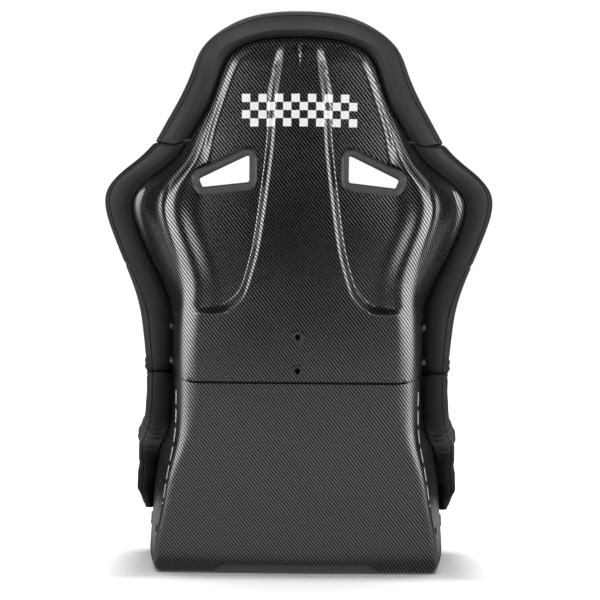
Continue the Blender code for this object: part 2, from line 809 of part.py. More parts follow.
def base_shell(seat):
    """A tub with an open top: the outer wall, the rim, the inner wall, the pan and the two feet."""
    tops = base_rim_heights()
    bm = bmesh.new()
    fractions = (0.0, 0.010, 0.035, 0.08, 0.22, 0.38, 0.55, 0.72, 0.87, 1.0)
    sheets = []
    for inward, floor in ((0.0, 0.0), (WALL, PAN)):
        rows = []
        for f in fractions:
            row = []
            for j, top in enumerate(tops):
                edge = min(j, len(tops) - 1 - j)
                bottom = floor
                if floor == 0 and edge < 3:
                    bottom = NOTCH_HEIGHT
                z = bottom + (top - bottom) * f
                row.append(base_outline(z, inward)[j])
            rows.append(row)
        sheets.append(grid(bm, rows))
    outer, inner = sheets
    for j in range(len(tops) - 1):
        bm.faces.new((outer[-1][j], outer[-1][j + 1], inner[-1][j + 1], inner[-1][j]))
    last = len(tops) - 1
    for j in range(3):
        bm.faces.new((outer[0][j], outer[0][j + 1], outer[0][last - j - 1], outer[0][last - j]))
    bm.faces.new(outer[0][3 : last - 2])
    bm.faces.new(inner[0])
    made = add("base_shell", bm, "carbon", seat)
    mirror_modifier(made)
    return made


def wall_x(y, z):
    """Half width of the base's outer side wall at a place along it."""
    first = len(REAR_XS) + 4
    wall = base_outline(z)[first : first + len(RIM_STEPS) + 2]
    for a, b in zip(wall, wall[1:]):
        if b.y <= y:
            break
    return a.x + (b.x - a.x) * (a.y - y) / (a.y - b.y)


def rim_frame(k):
    """The rim of the base at a station: its point on the outer face, outward and forward directions."""
    y, z = rim_line(k)
    y2, z2 = rim_line(k + 0.01)
    slope_y = (wall_x(y + 0.012, z) - wall_x(y, z)) / 0.012
    slope_z = (wall_x(y, z) - wall_x(y, z - 0.030)) / 0.030

    def on_wall(dy, dz):
        return Vector((slope_y * dy + slope_z * dz, dy, dz)).normalized()

    along = on_wall(y2 - y, z2 - z)
    steep = Vector((0, along.z, -along.y)).normalized()
    steep = steep.lerp(Vector((0, -1, 0)), 1 - smooth(k / 2.5))
    forward = on_wall(steep.y, steep.z)
    out = along.cross(forward).normalized()
    if out.x < 0:
        out = -out
    return Vector((wall_x(y, z), y, z)), out, forward


thigh_foot = spline(*zip(*THIGH_FEET))


def thigh_bolsters(seat):
    """The rolls along the sides of the base, thinner towards the front corner."""
    fronts, backs = [], []
    for k in steps(THIGH_START, THIGH_END, 15):
        point, out, forward = rim_frame(k)
        end = smooth((k - 6.0) / 3.5)
        tip = smooth((k - 9.6) / 1.15)
        foot = thigh_foot(k)
        inner = 0.040 - 0.008 * end - 0.006 * tip
        width = 0.042 - 0.012 * end - 0.016 * tip
        wall = WALL + 0.0070 * (1 - smooth((k - 1.3) / 1.2))
        crest = ROLL_FRONT - 0.010 * end - 0.018 * tip
        front_path, back_path = matched((0, 1), (-1, 0), wall, Vector((0, 0)), width, crest, inner, foot)
        fronts.append([point + out * p.x + forward * p.y for p in front_path])
        backs.append([point + out * p.x + forward * p.y for p in back_path])
    slab("thigh_bolster_left", fronts, backs, "leather", seat)
    slab("thigh_bolster_right", flipped(fronts), flipped(backs), "leather", seat)


def cushion_on_back(name, outline, rear, front, finish, parent, crown=0.0):
    """A pad that lies along the back between two depths, with softened borders.

    outline is its half width and the heights of its lower and upper borders.
    """
    half_width, low, high = outline
    fronts, backs = [], []
    for f in (0, 0.08, 0.3, 0.5, 0.7, 0.92, 1):
        z = low + (high - low) * f
        front_row, back_row = [], []
        for g in (0, 0.35, 0.7, 0.92, 1):
            edge = f in (0, 1) or g == 1
            swell = crown * (1 - (2 * f - 1) ** 2) * (1 - g**2)
            depth = front + swell - (0.35 * (front - rear) if edge else 0)
            x = g * half_width
            front_row.append(Vector((x, face_y(x, z, depth), z)))
            back_row.append(Vector((x, face_y(x, z, rear), z)))
        fronts.append(front_row)
        backs.append(back_row)
    made = slab(name, fronts, backs, finish, parent, ("inner",))
    mirror_modifier(made)
    return made


cushion_top = spline(*zip(*CUSHION_TOPS))


def seat_cushion(parent):
    """A block cut to the tub, with a rounded nose that laps over the front lip."""
    fronts, backs = [], []
    rows = [(y * MM, x * MM) for y, x in CUSHION_PLAN + CUSHION_NOSE]
    for i, (y, half) in enumerate(rows):
        nose = max(0, i - len(CUSHION_PLAN) + 1)
        low = CUSHION_LOW
        if i >= len(CUSHION_PLAN) - 1:
            low = FRONT_LIP + 0.004 + (0, 0, 0.002, 0.012)[nose]
        high = cushion_top(y) - (0, 0, 0.002, 0.016)[nose] - (0.012 if i == 0 else 0)
        front_row, back_row = [], []
        for g in (0, 0.4, 0.75, 0.93, 1):
            edge = 0.012 if g == 1 else 0
            front_row.append(Vector((g * half, y, high - edge + 0.006 * (1 - g**2))))
            back_row.append(Vector((g * half, y, low)))
        fronts.append(front_row)
        backs.append(back_row)
    made = slab("seat_cushion", fronts, backs, "fabric", parent, ("inner",))
    mirror_modifier(made)
    return made


# ---------------------------------------------------------------- harness slots
def slot_outline(outset, edge_steps=3):
    """The slot's outline, clockwise or not as SLOT is, moved outward: (x, z) points."""
    corners = [Vector(c) * MM for c in SLOT]
    middle = sum(corners, Vector((0, 0))) / len(corners)
    points = []
    arcs = []
    for i, c in enumerate(corners):
        before = (c - corners[i - 1]).normalized()
        after = (corners[(i + 1) % len(corners)] - c).normalized()
        inside = (after - before).normalized()
        half = math.acos(max(-1, min(1, before.dot(after)))) / 2
        centre = c + inside * SLOT_CORNER / math.cos(half)
        start = (c - centre).normalized()
        arc = []
        for k in (-1, 0, 1):
            a = half * k
            sense = 1 if before.x * after.y - before.y * after.x > 0 else -1
            turn_by = a * sense
            ray = Vector((
                start.x * math.cos(turn_by) - start.y * math.sin(turn_by),
                start.x * math.sin(turn_by) + start.y * math.cos(turn_by),
            ))
            arc.append(centre + ray * (SLOT_CORNER + outset))
        arcs.append(arc)
    for i, arc in enumerate(arcs):
        following = arcs[(i + 1) % len(arcs)][0]
        points += arc
        points += [arc[-1].lerp(following, k / edge_steps) for k in range(1, edge_steps)]
    return points


def slot_frame(name, tree, side, profile, finish, seat):
    """A frame round the left slot that follows a surface. side is +1 from behind, -1 from the front."""
    rows = []
    for i in range(len(slot_outline(0))):
        row = []
        for width, height in profile:
            p = slot_outline(width)[i]
            seen = slot_outline(max(width, 0.002))[i]
            place, _ = probe(tree, (seen.x, side, seen.y), (0, -side, 0))
            lean = face_y(p.x, p.y, 0) - face_y(seen.x, seen.y, 0)
            row.append(Vector((p.x, place.y + lean + side * height, p.y)))
        rows.append(row)
    rows.append(rows[0])
    for suffix, made in (("_left", rows), ("_right", flipped(rows))):
        bm = bmesh.new()
        grid(bm, made, closed=True)
        bmesh.ops.remove_doubles(bm, verts=bm.verts, dist=1e-6)
        add(name + suffix, bm, finish, seat)


def slot_cutter(name, outset):
    """Prisms that open both slots from front to back."""
    bm = bmesh.new()
    outline = slot_outline(outset)
    for sign in (1, -1):
        rows = [[Vector((sign * p.x, y, p.y)) for p in outline] for y in (0.05, 0.40)]
        verts = grid(bm, rows, closed=True)
        bm.faces.new(verts[0])
        bm.faces.new(verts[-1])
    return add(name, bm, "plastic")


def drill(bm, origin, direction, radius, back, ahead):
    """Adds a drill's cylinder to a cutter, from behind its origin to ahead of it."""
    verts = cylinder(bm, radius, -back, ahead, 16)
    bmesh.ops.transform(bm, matrix=aimed(origin, direction), verts=verts)


def fastener(name, profile, origin, direction, finish, parent, segments=20):
    """A turned part with its axis along a direction."""
    bm = turned(profile, segments)
    made = add(name, bm, finish, parent)
    made.matrix_world = aimed(origin, direction)
    return made


def swap(p):
    """The point on the other side of the seat."""
    return Vector((-p.x, p.y, p.z))



def main():
    """The whole seat: shells and pads, then frames, fasteners and the boards inside the tub."""
    clear_scene()
    seat = group("seat")
    shell = slab("back_shell", shell_sheet(0), shell_sheet(WALL), "carbon", seat, ("inner", "last"))
    shell_tree = tree_of(shell)
    mirror_modifier(shell)
    back_pads(seat)
    pad_tree = tree_of(bpy.data.objects["back_pad"])
    base = base_shell(seat)
    base_tree = tree_of(base)
    thigh_bolsters(seat)
    cushion_on_back("hip_pad", HIP_PAD, WALL + 0.002, PAD_DEPTH, "fabric", seat)
    rest = group("lumbar")
    rest.parent = seat
    rear = PAD_DEPTH + 0.0015
    cushion_on_back("lumbar_cushion", LUMBAR_PAD, rear, rear + LUMBAR_THICKNESS, "fabric", rest, LUMBAR_CROWN)
    lift = group("cushion")
    lift.parent = seat
    seat_cushion(lift)

    slot_frame("slot_bezel", shell_tree, 1, REAR_FRAME, "plastic", seat)
    slot_frame("slot_ring", pad_tree, -1, FRONT_FRAME, "plastic", seat)
    slots = slot_cutter("slot_cutter", 0.0028)
    cut(bpy.data.objects["back_pad"], slots)
    cut(shell, slots)

    holes = bmesh.new()
    plate_holes = bmesh.new()
    raised_bolt = [(radius, height + WASHER[-1][1] + 0.0001) for radius, height in BOLT]
    for level, height in zip(("lower", "upper"), BOLT_HEIGHTS):
        y = rear_y(height) - BOLT_DEPTH
        place, normal = probe(shell_tree, (1, y, height), (-1, 0, 0))
        for side, sign in SIDES:
            at, out = (place, normal) if sign > 0 else (swap(place), swap(normal))
            fastener(f"joint_bolt_{side}_{level}", raised_bolt, at, out, "steel", seat)
            fastener(f"joint_washer_{side}_{level}", WASHER, at, out, "steel", seat)
            drill(holes, at, -out, 0.0041, 0.02, 0.02)
            drill(plate_holes, at, -out, 0.0041, 0.02, 0.02)
    for level, height in zip(("lower", "upper"), REAR_INSERT_HEIGHTS):
        place, normal = probe(shell_tree, (1e-4, 1, height), (0, -1, 0))
        place.x = 0
        normal = Vector((0, normal.y, normal.z))
        fastener(f"rear_insert_{level}", REAR_INSERT, place, normal, "steel", seat)
        drill(holes, place, -normal, 0.0066, 0.02, 0.03)
    cutter = add("shell_drill", holes, "steel")
    cut(shell, cutter)

    base_holes = bmesh.new()
    for end, y in zip(("front", "rear"), INSERT_YS):
        place, normal = probe(base_tree, (1, y, SIDE_INSERT_Z), (-1, 0, 0))
        for side, sign in SIDES:
            at, out = (place, normal) if sign > 0 else (swap(place), swap(normal))
            fastener(f"side_insert_{side}_{end}", SIDE_INSERT, at, out, "zinc", seat)
            drill(base_holes, at, -out, 0.0072, 0.02, 0.02)
            below = Vector((sign * RAIL_X, y, 0))
            fastener(f"foot_insert_{side}_{end}", FOOT_INSERT, below, (0, 0, 1), "zinc", seat)
            drill(base_holes, below, (0, 0, 1), 0.0081, 0.01, 0.0175)
    base_cutter = add("base_drill", base_holes, "steel")
    cut(base, base_cutter)

    joint_plates(shell_tree, plate_holes, seat)
    for side, sign in SIDES:
        low, high = sorted((sign * 0.149, sign * 0.181))
        box(f"pan_rail_{side}", (low, -0.250, PAN + 0.0004), (high, 0.065, 0.0450), "steel", seat, 0.002)
        low, high = sorted((sign * 0.035, sign * 0.085))
        box(f"hook_strip_{side}", (low, -0.185, 0.0577), (high, 0.035, 0.0595), "hook_tape", seat)
    box("seat_board", (-0.183, -0.262, 0.0453), (0.183, 0.067, 0.0573), "board", seat, 0.001)


def joint_plates(shell_tree, holes, seat):
    """Tapped plates against the inner faces of both shells' side walls."""
    middle, normal = probe(shell_tree, (1, rear_y(PLATE_Z) - BOLT_DEPTH, PLATE_Z), (-1, 0, 0))
    lean = Vector((0, rear_y(0.41) - rear_y(0.28), 0.13)).normalized()
    lean = (lean - normal * lean.dot(normal)).normalized()
    across = normal.cross(lean).normalized()
    cutter = add("plate_drill", holes, "steel")
    for side, sign in SIDES:
        bm = bmesh.new()
        bmesh.ops.create_cube(bm, size=1)
        for v in bm.verts:
            p = middle - normal * (WALL + 0.0026 + PLATE_SIZE[2] * (0.5 - v.co.z))
            p = p + lean * (PLATE_SIZE[0] * v.co.x - 0.024) + across * PLATE_SIZE[1] * v.co.y
            v.co = Vector((sign * p.x, p.y, p.z))
        made = add(f"joint_plate_{side}", bm, "zinc", seat)
        cut(made, cutter)


main()
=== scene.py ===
"""Looks for the two-piece bucket racing seat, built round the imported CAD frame.

Everything is in metres, +Z up, the occupant faces -Y and their left is +X. The shells and the pads are dense
versions of the CAD surfaces: the backrest is lofted from ribs that fan out from its centre line, and a point on
a rib has a distance s along it, seen from behind, and a depth d forward of the leaning rear face.
"""

import json
import math

import bmesh
import bpy
import numpy as np
from mathutils import Matrix, Vector, noise
from mathutils.bvhtree import BVHTree


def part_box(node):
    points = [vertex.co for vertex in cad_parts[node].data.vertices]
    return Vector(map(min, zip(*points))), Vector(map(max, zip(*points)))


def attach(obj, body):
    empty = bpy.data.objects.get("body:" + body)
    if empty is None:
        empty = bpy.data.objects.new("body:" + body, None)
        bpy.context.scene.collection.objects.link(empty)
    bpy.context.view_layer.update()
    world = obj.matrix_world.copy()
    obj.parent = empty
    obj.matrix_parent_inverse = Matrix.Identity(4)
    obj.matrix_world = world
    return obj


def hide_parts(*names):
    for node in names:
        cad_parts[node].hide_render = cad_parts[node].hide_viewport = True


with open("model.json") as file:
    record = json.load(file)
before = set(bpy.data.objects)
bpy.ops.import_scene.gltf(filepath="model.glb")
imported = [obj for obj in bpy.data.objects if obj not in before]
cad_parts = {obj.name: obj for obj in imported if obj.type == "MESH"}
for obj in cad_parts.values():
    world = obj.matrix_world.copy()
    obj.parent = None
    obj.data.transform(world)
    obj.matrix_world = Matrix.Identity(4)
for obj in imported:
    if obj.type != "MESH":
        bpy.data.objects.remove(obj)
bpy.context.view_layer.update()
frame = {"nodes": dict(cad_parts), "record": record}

MM = 0.001
NODES = frame["nodes"]
SIDES = (("left", 1), ("right", -1))

# ---------------------------------------------------------------- camera
SENSOR_MM = 36
LENS_MM = 147.6
CAMERA_AT = (0.0, 4.0, 0.427)
YAW_OFF = 0.000813  # in radians: the seat's middle lies a little left of the picture's
PITCH_OFF = 0.002236  # and the horizon a little below it
ROLL_DEGREES = 0.5


def in_scene(name, data):
    made = bpy.data.objects.new(name, data)
    bpy.context.scene.collection.objects.link(made)
    return made


def make_camera():
    data = bpy.data.cameras.new("camera")
    data.sensor_width = SENSOR_MM
    data.lens = LENS_MM
    camera = in_scene("camera", data)
    turn = Matrix.Rotation(math.pi - YAW_OFF, 4, "Z") @ Matrix.Rotation(math.pi / 2 + PITCH_OFF, 4, "X")
    turn = turn @ Matrix.Rotation(math.radians(ROLL_DEGREES), 4, "Z")
    camera.matrix_world = Matrix.Translation(CAMERA_AT) @ turn
    bpy.context.scene.camera = camera


make_camera()

# ---------------------------------------------------------------- dimensions shared with the CAD, in metres
WALL = 0.005
GAP = 0.0005
SEAM_GAP = 0.001
SPLIT_Z = 0.308
SPLIT_GAP = 0.004
SPLIT_RISE = 0.0095
CORNER_DEPTH = 0.040
PAD_DEPTH = 0.036
ROLL_FRONT = 0.056
ROLL_BACK = 0.014
ROLL_INNER = 0.044
HEAD_FRONT = 0.050
HEAD_INNER = 0.034
POCKET_DEPTH = 0.010
NOTCH_HALF = 0.114
NOTCH_SLOPE = 0.022
NOTCH_HEIGHT = 0.0134
SLOT_OUTSET = 0.0040  # the holes in the shell and the panel pass the slot's outline by this
INSERT_HOLE = 0.0066
SHELL_BEVEL = 0.0012  # bevel of a shell's edges
BASE_FRONT = -0.301
WIDTHS_TOP = 0.325  # the base's widths are known up to this height
SIDE_BOW = 0.004

REAR_LINE = (
    (0.00, 0.0835), (0.10, 0.1075), (0.20, 0.1345), (0.31, 0.1655),
    (0.45, 0.2065), (0.60, 0.2485), (0.72, 0.2795), (0.88, 0.3175),
)
# In mm and degrees: height on the centre line, shell rim x and z, outer edge x and z, the corner's turn and
# radius, and the straight wing past it.
RIBS = (
    (308, 202, 308, 244, 311, 84, 38, 95),
    (360, 202, 362, 247, 362, 84, 38, 95),
    (410, 203, 420, 253, 418, 82, 40, 90),
    (455, 219, 467, 268, 474, 72, 48, 82),
    (502, 246, 524, 287, 524, 62, 55, 72),
    (546, 262, 581, 303, 583, 54, 58, 62),
    (588, 238, 619, 283, 624, 50, 52, 44),
    (628, 193, 652, 234, 663, 50, 34, 26),
    (668, 162, 695, 206, 701, 56, 20, 14),
    (706, 138, 733, 182, 741, 64, 9, 11.4),
    (740, 122, 775, 164, 781, 66, 8, 10.6),
    (763, 102, 810, 139, 826, 66, 8, 10.6),
    (780, 60, 828, 77, 861, 66, 8, 10.6),
    (788, 0, 833, 0, 870, 66, 8, 10.6),
)
TOP = len(RIBS) - 1.0
HEAD_SEAM = 7.75
SEAM_STEP = 0.03
RIB_SPACING = 0.055  # typical distance between ribs at the rim
SPINE_EDGE = (
    (22, 850), (27, 792), (34, 745), (38, 690), (44, 630), (57, 535),
    (66, 492), (78, 452), (92, 430), (110, 417), (132, 413), (190, 412),
)
SLOT = ((76, 658), (76, 615), (148, 607), (154, 621))
BASE_TOP = SPLIT_Z - SPLIT_GAP
BASE_WIDTHS = (
    (0, 229, 250, 14), (40, 226, 249, 14), (110, 213, 246, 16), (160, 205, 240, 20),
    (190, 199, 235, 24), (220, 194, 229, 30), (260, 192, 222, 36), (325, 192, 216, 38),
)
BASE_RIM = (
    (37, 313), (28, 286), (13, 260), (-11, 238), (-54, 219), (-106, 208),
    (-160, 200), (-208, 189), (-243, 165), (-262, 130), (-269, 98), (-270, 68),
)
FRONT_LIP = 0.066
FRONT_RADIUS = 0.030
BOTTOM_ROUND = 0.024
BOTTOM_INSET = 0.013
PAN = 0.022
REAR_TURN = math.radians(84)
LEAN = 0.966  # cosine of the rear face's lean

# ---------------------------------------------------------------- finish
TOW_ACROSS = 0.00141  # width of a carbon tow across the seat
TOW_UP = 0.00180  # and up it
BAND_HALF = 0.0875  # the chequered band on the head: half width, middle and half height along the lean
BAND_MIDDLE = 0.7480
BAND_HALF_HEIGHT = 0.0250
CHECK = 0.0125
STRIPE_OFF = 0.002  # the broken stripe down the base's sides, this far past the corner
STRIPE_HALF = 0.0042
STRIPE_PITCH = 0.030
STRIPE_DASH = 0.022
STRIPE_LOW = 0.109
STRIPE_HIGH = 0.297
BAND_SEAM = 0.0075  # the cover band's seam lies this far inside the edge roll's outline


# ---------------------------------------------------------------- curves
def spline(ts, values):
    """Natural cubic spline through values at ts, as a function. Values may be numbers or points."""
    ts = np.asarray(ts, float)
    values = np.asarray(values, float).reshape(len(ts), -1)
    h = np.diff(ts)
    n = len(ts)
    system = np.eye(n)
    right = np.zeros_like(values)
    for i in range(1, n - 1):
        system[i, i - 1 : i + 2] = (h[i - 1], 2 * (h[i - 1] + h[i]), h[i])
        right[i] = 6 * ((values[i + 1] - values[i]) / h[i] - (values[i] - values[i - 1]) / h[i - 1])
    bend = np.linalg.solve(system, right)

    def at(t):
        i = int(np.clip(np.searchsorted(ts, t) - 1, 0, n - 2))
        a = (ts[i + 1] - t) / h[i]
        b = 1 - a
        curve = a * values[i] + b * values[i + 1]
        curve = curve + ((a**3 - a) * bend[i] + (b**3 - b) * bend[i + 1]) * h[i] ** 2 / 6
        return curve if len(curve) > 1 else float(curve[0])

    return at


def smooth(x):
    x = min(1.0, max(0.0, x))
    return x * x * (3 - 2 * x)


def steps(low, high, count):
    return [low + (high - low) * i / count for i in range(count + 1)]


def joined_steps(bounds, counts):
    """Values through the bounds, with the given number of steps between each two."""
    made = [bounds[0]]
    for low, high, count in zip(bounds, bounds[1:], counts):
        made += steps(low, high, count)[1:]
    return made


def mirrored_ribs():
    """The ribs up one side and down the other, so that the spline through them is symmetric."""
    up = np.array(RIBS, float)
    down = up[-2::-1].copy()
    down[:, 1] *= -1
    down[:, 3] *= -1
    return np.vstack([up, down])


rear_y = spline(*zip(*REAR_LINE))
rib_at = spline(range(2 * len(RIBS) - 1), mirrored_ribs())
spine_at = spline(range(len(SPINE_EDGE)), np.array(SPINE_EDGE) * MM)
SPINE_LINE = np.array([spine_at(t) for t in np.linspace(0, len(SPINE_EDGE) - 1, 61)])
SEAM_LINE = spline(
    (0, 2, 4, 5.2, 6.0, 6.6, 7, 7.75),
    (0.118, 0.118, 0.140, 0.162, 0.172, 0.171, 0.158, 0.132),
)


def face_y(x, z, depth):
    """The y of a point at a depth forward of the leaning rear face, which bows forward towards its sides."""
    return rear_y(z) - depth - 0.30 * x**2 * (1 - smooth(abs(x) / 0.6))


# ---------------------------------------------------------------- the backrest shell's surface
class Rib:
    """One rib of the backrest: its place, and the section that the shell follows along it."""

    def __init__(self, t):
        zc, rx, rz, px, pz, turn, radius, wing = rib_at(t)
        self.t = t
        self.centre = Vector((0, 0, zc * MM))
        self.rim = Vector((rx * MM, 0, rz * MM))
        self.edge = Vector((px * MM, 0, pz * MM))
        self.turn = math.radians(turn)
        self.radius = radius * MM
        self.wing = wing * MM
        self.length = (self.rim - self.centre).length
        self.side = (self.rim - self.centre) / self.length
        self.roll = (self.edge - self.rim).length
        self.roll_side = (self.edge - self.rim) / self.roll
        self.flat = self.length - self.radius * math.sin(self.turn) - self.wing * math.cos(self.turn)
        self.arc = self.radius * self.turn
        self.total = self.flat + self.arc + self.wing
        self.depth = self.radius * (1 - math.cos(self.turn)) + self.wing * math.sin(self.turn)

    def section(self, u):
        """(s, d, angle) at the distance u along the shell's section."""
        if u <= self.flat:
            return u, 0.0, 0.0
        if u <= self.flat + self.arc:
            angle = (u - self.flat) / self.radius
            return self.flat + self.radius * math.sin(angle), self.radius * (1 - math.cos(angle)), angle
        rest = u - self.flat - self.arc
        s = self.flat + self.radius * math.sin(self.turn) + rest * math.cos(self.turn)
        d = self.radius * (1 - math.cos(self.turn)) + rest * math.sin(self.turn)
        return s, d, self.turn

    def place(self, s, d):
        """The point at distance s along the rib and depth d."""
        if s <= self.length:
            p = self.centre + self.side * s
        else:
            p = self.rim + self.roll_side * (s - self.length)
        foot = 1 - smooth(self.t / 3)
        z = p.z + foot * SPLIT_RISE * smooth(d / CORNER_DEPTH)
        return Vector((p.x, face_y(p.x, z, d), z))


def spine_distance(x, z):
    """Distance from the edge of the raised spine, positive on the pocket's side."""
    a, b = SPINE_LINE[:-1], SPINE_LINE[1:]
    p = np.array((x, z))
    along = b - a
    t = np.clip(((p - a) * along).sum(1) / (along**2).sum(1), 0, 1)
    away = p - (a + along * t[:, None])
    distance = np.hypot(*away.T)
    i = int(distance.argmin())
    outside = along[i, 0] * away[i, 1] - along[i, 1] * away[i, 0]
    return math.copysign(distance[i], outside)


def pocket(rib, u, x, z):
    """How deep the moulded pocket beside the spine is at this point."""
    inside = spine_distance(abs(x), z)
    crease = min(1.0, max(0.0, (inside + 0.001) / 0.011)) ** 2
    foot = smooth((inside + 0.001) / 0.014)
    inner = foot + (crease - foot) * smooth((z - 0.425) / 0.045)
    fade = 0.010 + 0.040 * (1 - smooth((rib.t - 5) / 3))
    outer = smooth((rib.flat - 0.003 - u) / fade + 0.5)
    top = (0.6 + 0.4 * smooth((0.80 - z) / 0.12)) * smooth((0.822 - z) / 0.030)
    return POCKET_DEPTH * top * inner * outer


def dent(rib, u):
    """Depth of the shallow scoop in the side wing."""
    along = smooth((rib.t - 2.9) / 1.6) * smooth((6.1 - rib.t) / 0.9)
    start = rib.flat + 0.45 * rib.arc
    across = smooth((u - start) / 0.012) * smooth((rib.total - 0.010 - u) / 0.012)
    return 0.004 * along * across


def shell_point(rib, u, inward=0.0):
    """A point on the backrest shell, the distance inward into its wall."""
    s, d, angle = rib.section(u)
    flat = rib.place(s, d)
    inward += dent(rib, u)
    d += inward * math.cos(angle) + pocket(rib, u, flat.x, flat.z)
    return rib.place(s - inward * math.sin(angle), d)


def spine_column(t):
    """Where a rib meets the edge of the raised spine."""
    rib = Rib(max(t, 2.05))
    low, high = 0.0, rib.flat
    for _ in range(30):
        mid = (low + high) / 2
        p = rib.place(mid, 0)
        if spine_distance(p.x, p.z) < 0:
            low = mid
        else:
            high = mid
    return min(low, 0.80 * rib.flat)


def shell_columns(rib):
    """Distances along a rib's section where the shell has its columns: they follow the moulded edges."""
    spine = spine_column(rib.t)
    if rib.t > 9:
        share = (TOP - rib.t) / (TOP - 9)
        spine = spine * share + 0.020 * (1 - share)
    bounds = (0, spine - 0.002, spine + 0.012, rib.flat - 0.014, rib.flat, rib.flat + rib.arc, rib.total)
    return joined_steps(bounds, (8, 12, 14, 5, 14, 12))


# ---------------------------------------------------------------- mesh helpers
def to_array(rows):
    return np.array([[tuple(p) for p in row] for row in rows], float)


def across(half):
    """A sheet of both sides, from a sheet whose first column is at x = 0."""
    other = half[:, :0:-1].copy()
    other[..., 0] *= -1
    return np.concatenate([other, half], axis=1)


def swapped(sheet):
    """The same sheet on the other side of the seat."""
    made = sheet.copy()
    made[..., 0] *= -1
    return made


def normals_of(sheet, away_from):
    """Unit normals of a sheet of points, on the side away from another sheet that matches it."""
    n = np.cross(np.gradient(sheet, axis=1), np.gradient(sheet, axis=0))
    n /= np.linalg.norm(n, axis=2, keepdims=True) + 1e-12
    if ((sheet - away_from) * n).sum() < 0:
        n = -n
    return n


def resampled(points, count):
    """Points at even distances along a polyline of 2-D or 3-D points."""
    points = np.array([tuple(p) for p in points], float)
    reach = np.concatenate([[0], np.cumsum(np.linalg.norm(np.diff(points, axis=0), axis=1))])
    at = np.linspace(0, reach[-1], count)
    return np.stack([np.interp(at, reach, points[:, k]) for k in range(points.shape[1])], axis=1)


def slab_faces(rows, columns):
    """Faces of a closed solid between two sheets: front and back quads in turn, then the border."""
    size = rows * columns
    faces = []
    for i in range(rows - 1):
        for j in range(columns - 1):
            a = i * columns + j
            quad = (a, a + 1, a + columns + 1, a + columns)
            faces += [quad, tuple(size + k for k in quad[::-1])]
    border = list(range(columns))
    border += [i * columns + columns - 1 for i in range(1, rows)]
    border += [(rows - 1) * columns + j for j in range(columns - 2, -1, -1)]
    border += [i * columns for i in range(rows - 2, 0, -1)]
    return faces + [(b, a, size + a, size + b) for a, b in zip(border, border[1:] + border[:1])]


def new_object(name, mesh, materials, sharp=35):
    for made in materials:
        mesh.materials.append(made)
    mesh.validate()
    mesh.shade_smooth()
    mesh.set_sharp_from_angle(angle=math.radians(sharp))
    return in_scene(name, mesh)


def closed_mesh(bm, mesh):
    """Puts a closed bmesh in a mesh, with its faces turned to point out."""
    bmesh.ops.recalc_face_normals(bm, faces=bm.faces)
    if bm.calc_volume(signed=True) < 0:
        bmesh.ops.reverse_faces(bm, faces=bm.faces)
    bm.to_mesh(mesh)
    bm.free()
    return mesh


def facing_out(mesh):
    bm = bmesh.new()
    bm.from_mesh(mesh)
    closed_mesh(bm, mesh)


def slab(name, front, back, materials, uv=None, zones=None, sharp=35):
    """An object between two matching sheets. uv holds a pair of metres for each point of a sheet, and zones the
    material number of each quad of the front sheet."""
    rows, columns = front.shape[:2]
    faces = slab_faces(rows, columns)
    mesh = bpy.data.meshes.new(name)
    mesh.from_pydata(np.concatenate([front.reshape(-1, 3), back.reshape(-1, 3)]).tolist(), [], faces)
    if zones is not None:
        numbers = np.zeros(len(faces), int)
        numbers[: 2 * (rows - 1) * (columns - 1) : 2] = zones.reshape(-1)
        mesh.polygons.foreach_set("material_index", numbers)
    if uv is not None:
        layer = mesh.uv_layers.new(name="weave")
        flat = np.concatenate([uv.reshape(-1, 2)] * 2)
        corners = np.empty(len(mesh.loops), np.int32)
        mesh.loops.foreach_get("vertex_index", corners)
        layer.uv.foreach_set("vector", flat[corners].reshape(-1))
    facing_out(mesh)
    return new_object(name, mesh, materials, sharp)


def apply_modifiers(obj):
    """Puts the result of the object's modifiers in its mesh."""
    dg = bpy.context.evaluated_depsgraph_get()
    made = bpy.data.meshes.new_from_object(obj.evaluated_get(dg), preserve_all_data_layers=True, depsgraph=dg)
    obj.modifiers.clear()
    old = obj.data
    obj.data = made
    bpy.data.meshes.remove(old)


def add_bevel(obj, width, segments=2, angle=40):
    made = obj.modifiers.new("Bevel", "BEVEL")
    made.width = width
    made.segments = segments
    made.limit_method = "ANGLE"
    made.angle_limit = math.radians(angle)
    made.harden_normals = False


def cut(obj, cutter):
    """Takes a cutter's volume out of an object, and removes the cutter."""
    made = obj.modifiers.new("Cut", "BOOLEAN")
    made.operation = "DIFFERENCE"
    made.solver = "EXACT"
    made.object = cutter
    apply_modifiers(obj)
    bpy.data.objects.remove(cutter)


def show(obj, body, slot, *nodes):
    """Parents a piece to the empty of the body it rides on and hides the CAD nodes it stands for. slot, its
    finish, is not used.
    """
    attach(obj, body)
    if nodes:
        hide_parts(*nodes)


